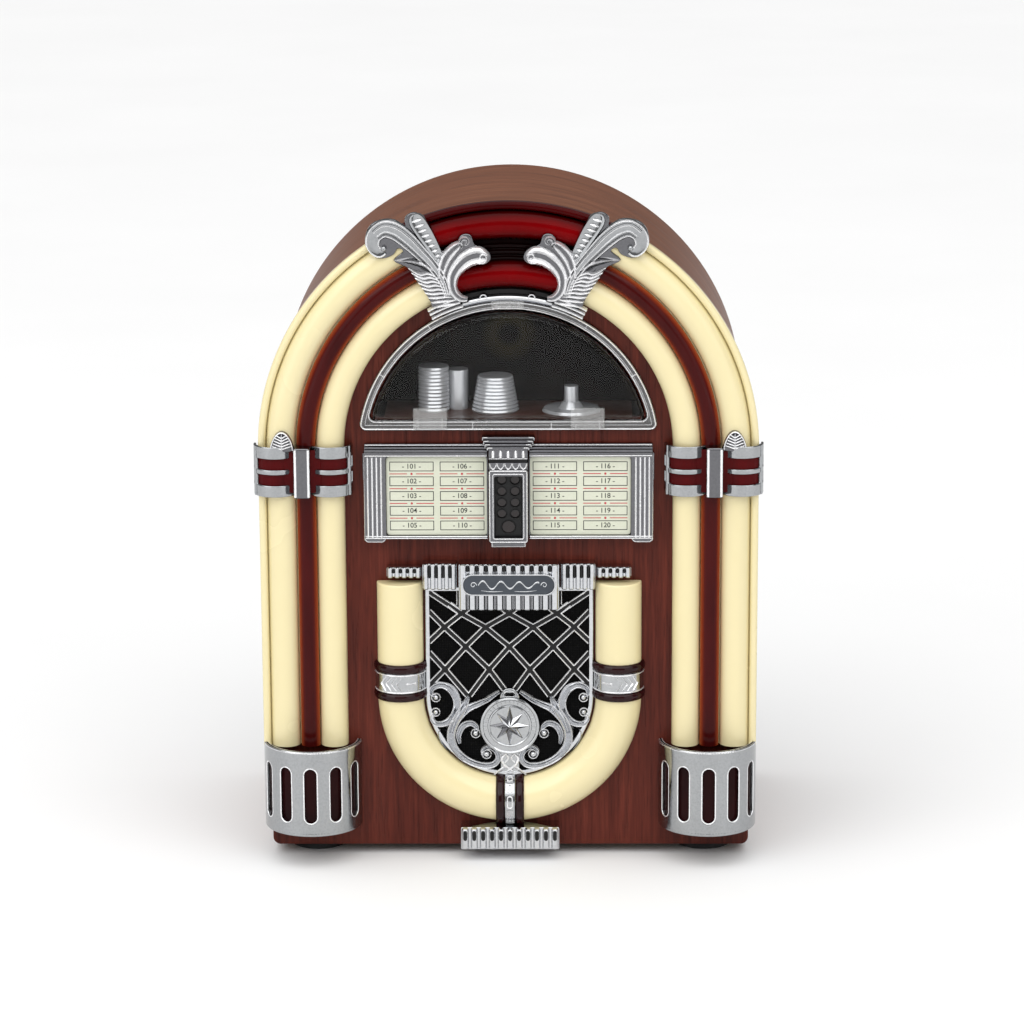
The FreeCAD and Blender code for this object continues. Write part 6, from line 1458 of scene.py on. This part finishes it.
# ---------------------------------------------------------------- nodes kept from the frame
KEPT = {"base_board": BASE_WOOD, "shoe_liners": SHOE_LINER, "ferrule_inserts": LINER,
        "display_tray": BACK_WALL, "display_floor": FLOOR_BROWN, "record_stacks": SILVER,
        "record_spindle": SILVER, "selector_lamps": LAMP, "grille_cloth": CLOTH, "control_panel": BLACK,
        "tuning_knob": KNOB, "volume_knob": KNOB, "band_switch": KNOB, "lamp_switch": KNOB,
        "control_board": BOARD, "rear_panel": REAR, "rear_screws": STEEL, "battery_door": BLACK,
        "battery_tray": BLACK, "dc_jack": BLACK, "aerial_bracket": BLACK, "aerial_swivel": BLACK,
        "aerial_mast": CHROME, "aerial_middle": CHROME, "aerial_tip": CHROME, "speaker_frame": FERRITE,
        "speaker_magnet": FERRITE, "speaker_cone": CONE_PAPER, "main_board": BOARD, "arch_lamps": BULB}


def finish_kept_nodes():
    for name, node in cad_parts.items():
        if node.hide_render:
            continue
        node.data.materials.clear()
        node.data.materials.append(KEPT[name])


# ---------------------------------------------------------------- studio
def studio():
    mesh = bpy.data.meshes.new("floor")
    mesh.from_pydata([(x, y, 0) for x, y in ((-20, -20), (20, -20), (20, 20), (-20, 20))], [], [(0, 1, 2, 3)])
    floor = bpy.data.objects.new("floor", mesh)
    bpy.context.scene.collection.objects.link(floor)
    white = Finish("floor_white", Roughness=0.6)
    grain = white.noise(white.place(), 3)
    white.set("Base Color", white.ramp(grain, (0.3, (0.79, 0.79, 0.79)), (0.7, (0.81, 0.81, 0.81))))
    mesh.materials.append(white.material)

    world = bpy.data.worlds.new("studio")
    world.use_nodes = True
    world.node_tree.nodes["Background"].inputs["Color"].default_value = (1, 1, 1, 1)
    world.node_tree.nodes["Background"].inputs["Strength"].default_value = 0.2
    bpy.context.scene.world = world

    def lamp(name, kind, place, target, energy, **settings):
        light = bpy.data.lights.new(name, kind)
        light.energy = energy
        for key, value in settings.items():
            setattr(light, key, value)
        thing = bpy.data.objects.new(name, light)
        thing.location = place
        thing.rotation_euler = (Vector(target) - Vector(place)).to_track_quat("-Z", "Y").to_euler()
        bpy.context.scene.collection.objects.link(thing)
    lamp("sky", "SUN", (-0.25, -0.9, 3.0), (0, 0, 0), 3.55, angle=math.radians(95))
    lamp("left_box", "AREA", (-1.9, -1.9, 1.1), (0, 0, 0.2), 18, shape="RECTANGLE", size=1.9, size_y=2.2)
    lamp("right_box", "AREA", (1.9, -1.9, 1.1), (0, 0, 0.2), 15, shape="RECTANGLE", size=1.9, size_y=2.2)

    camera = bpy.data.objects.new("camera", bpy.data.cameras.new("camera"))
    camera.data.lens, camera.data.sensor_width = 134.4, 36
    camera.data.clip_end = 100
    ahead = Vector((-0.014225, 0.970192, -0.241922))
    right = ahead.cross(Vector((0, 0, 1))).normalized()
    up = right.cross(ahead)
    roll = math.radians(-0.29)
    side = right * math.cos(roll) + up * math.sin(roll)
    above = up * math.cos(roll) - right * math.sin(roll)
    turn = Matrix((side, above, -ahead)).transposed()
    camera.matrix_world = Matrix.Translation((0.03029, -2.01867, 0.67512)) @ turn.to_4x4()
    bpy.context.scene.collection.objects.link(camera)
    bpy.context.scene.camera = camera
    bpy.context.scene.view_settings.view_transform = "Standard"


build_cabinet()
build_lit_arch()
build_plume()
build_ferrules()
build_shoes()
build_window()
build_titles()
build_selector()
build_header()
build_lattice()
build_medallion()
build_tubes()
finish_kept_nodes()
studio()
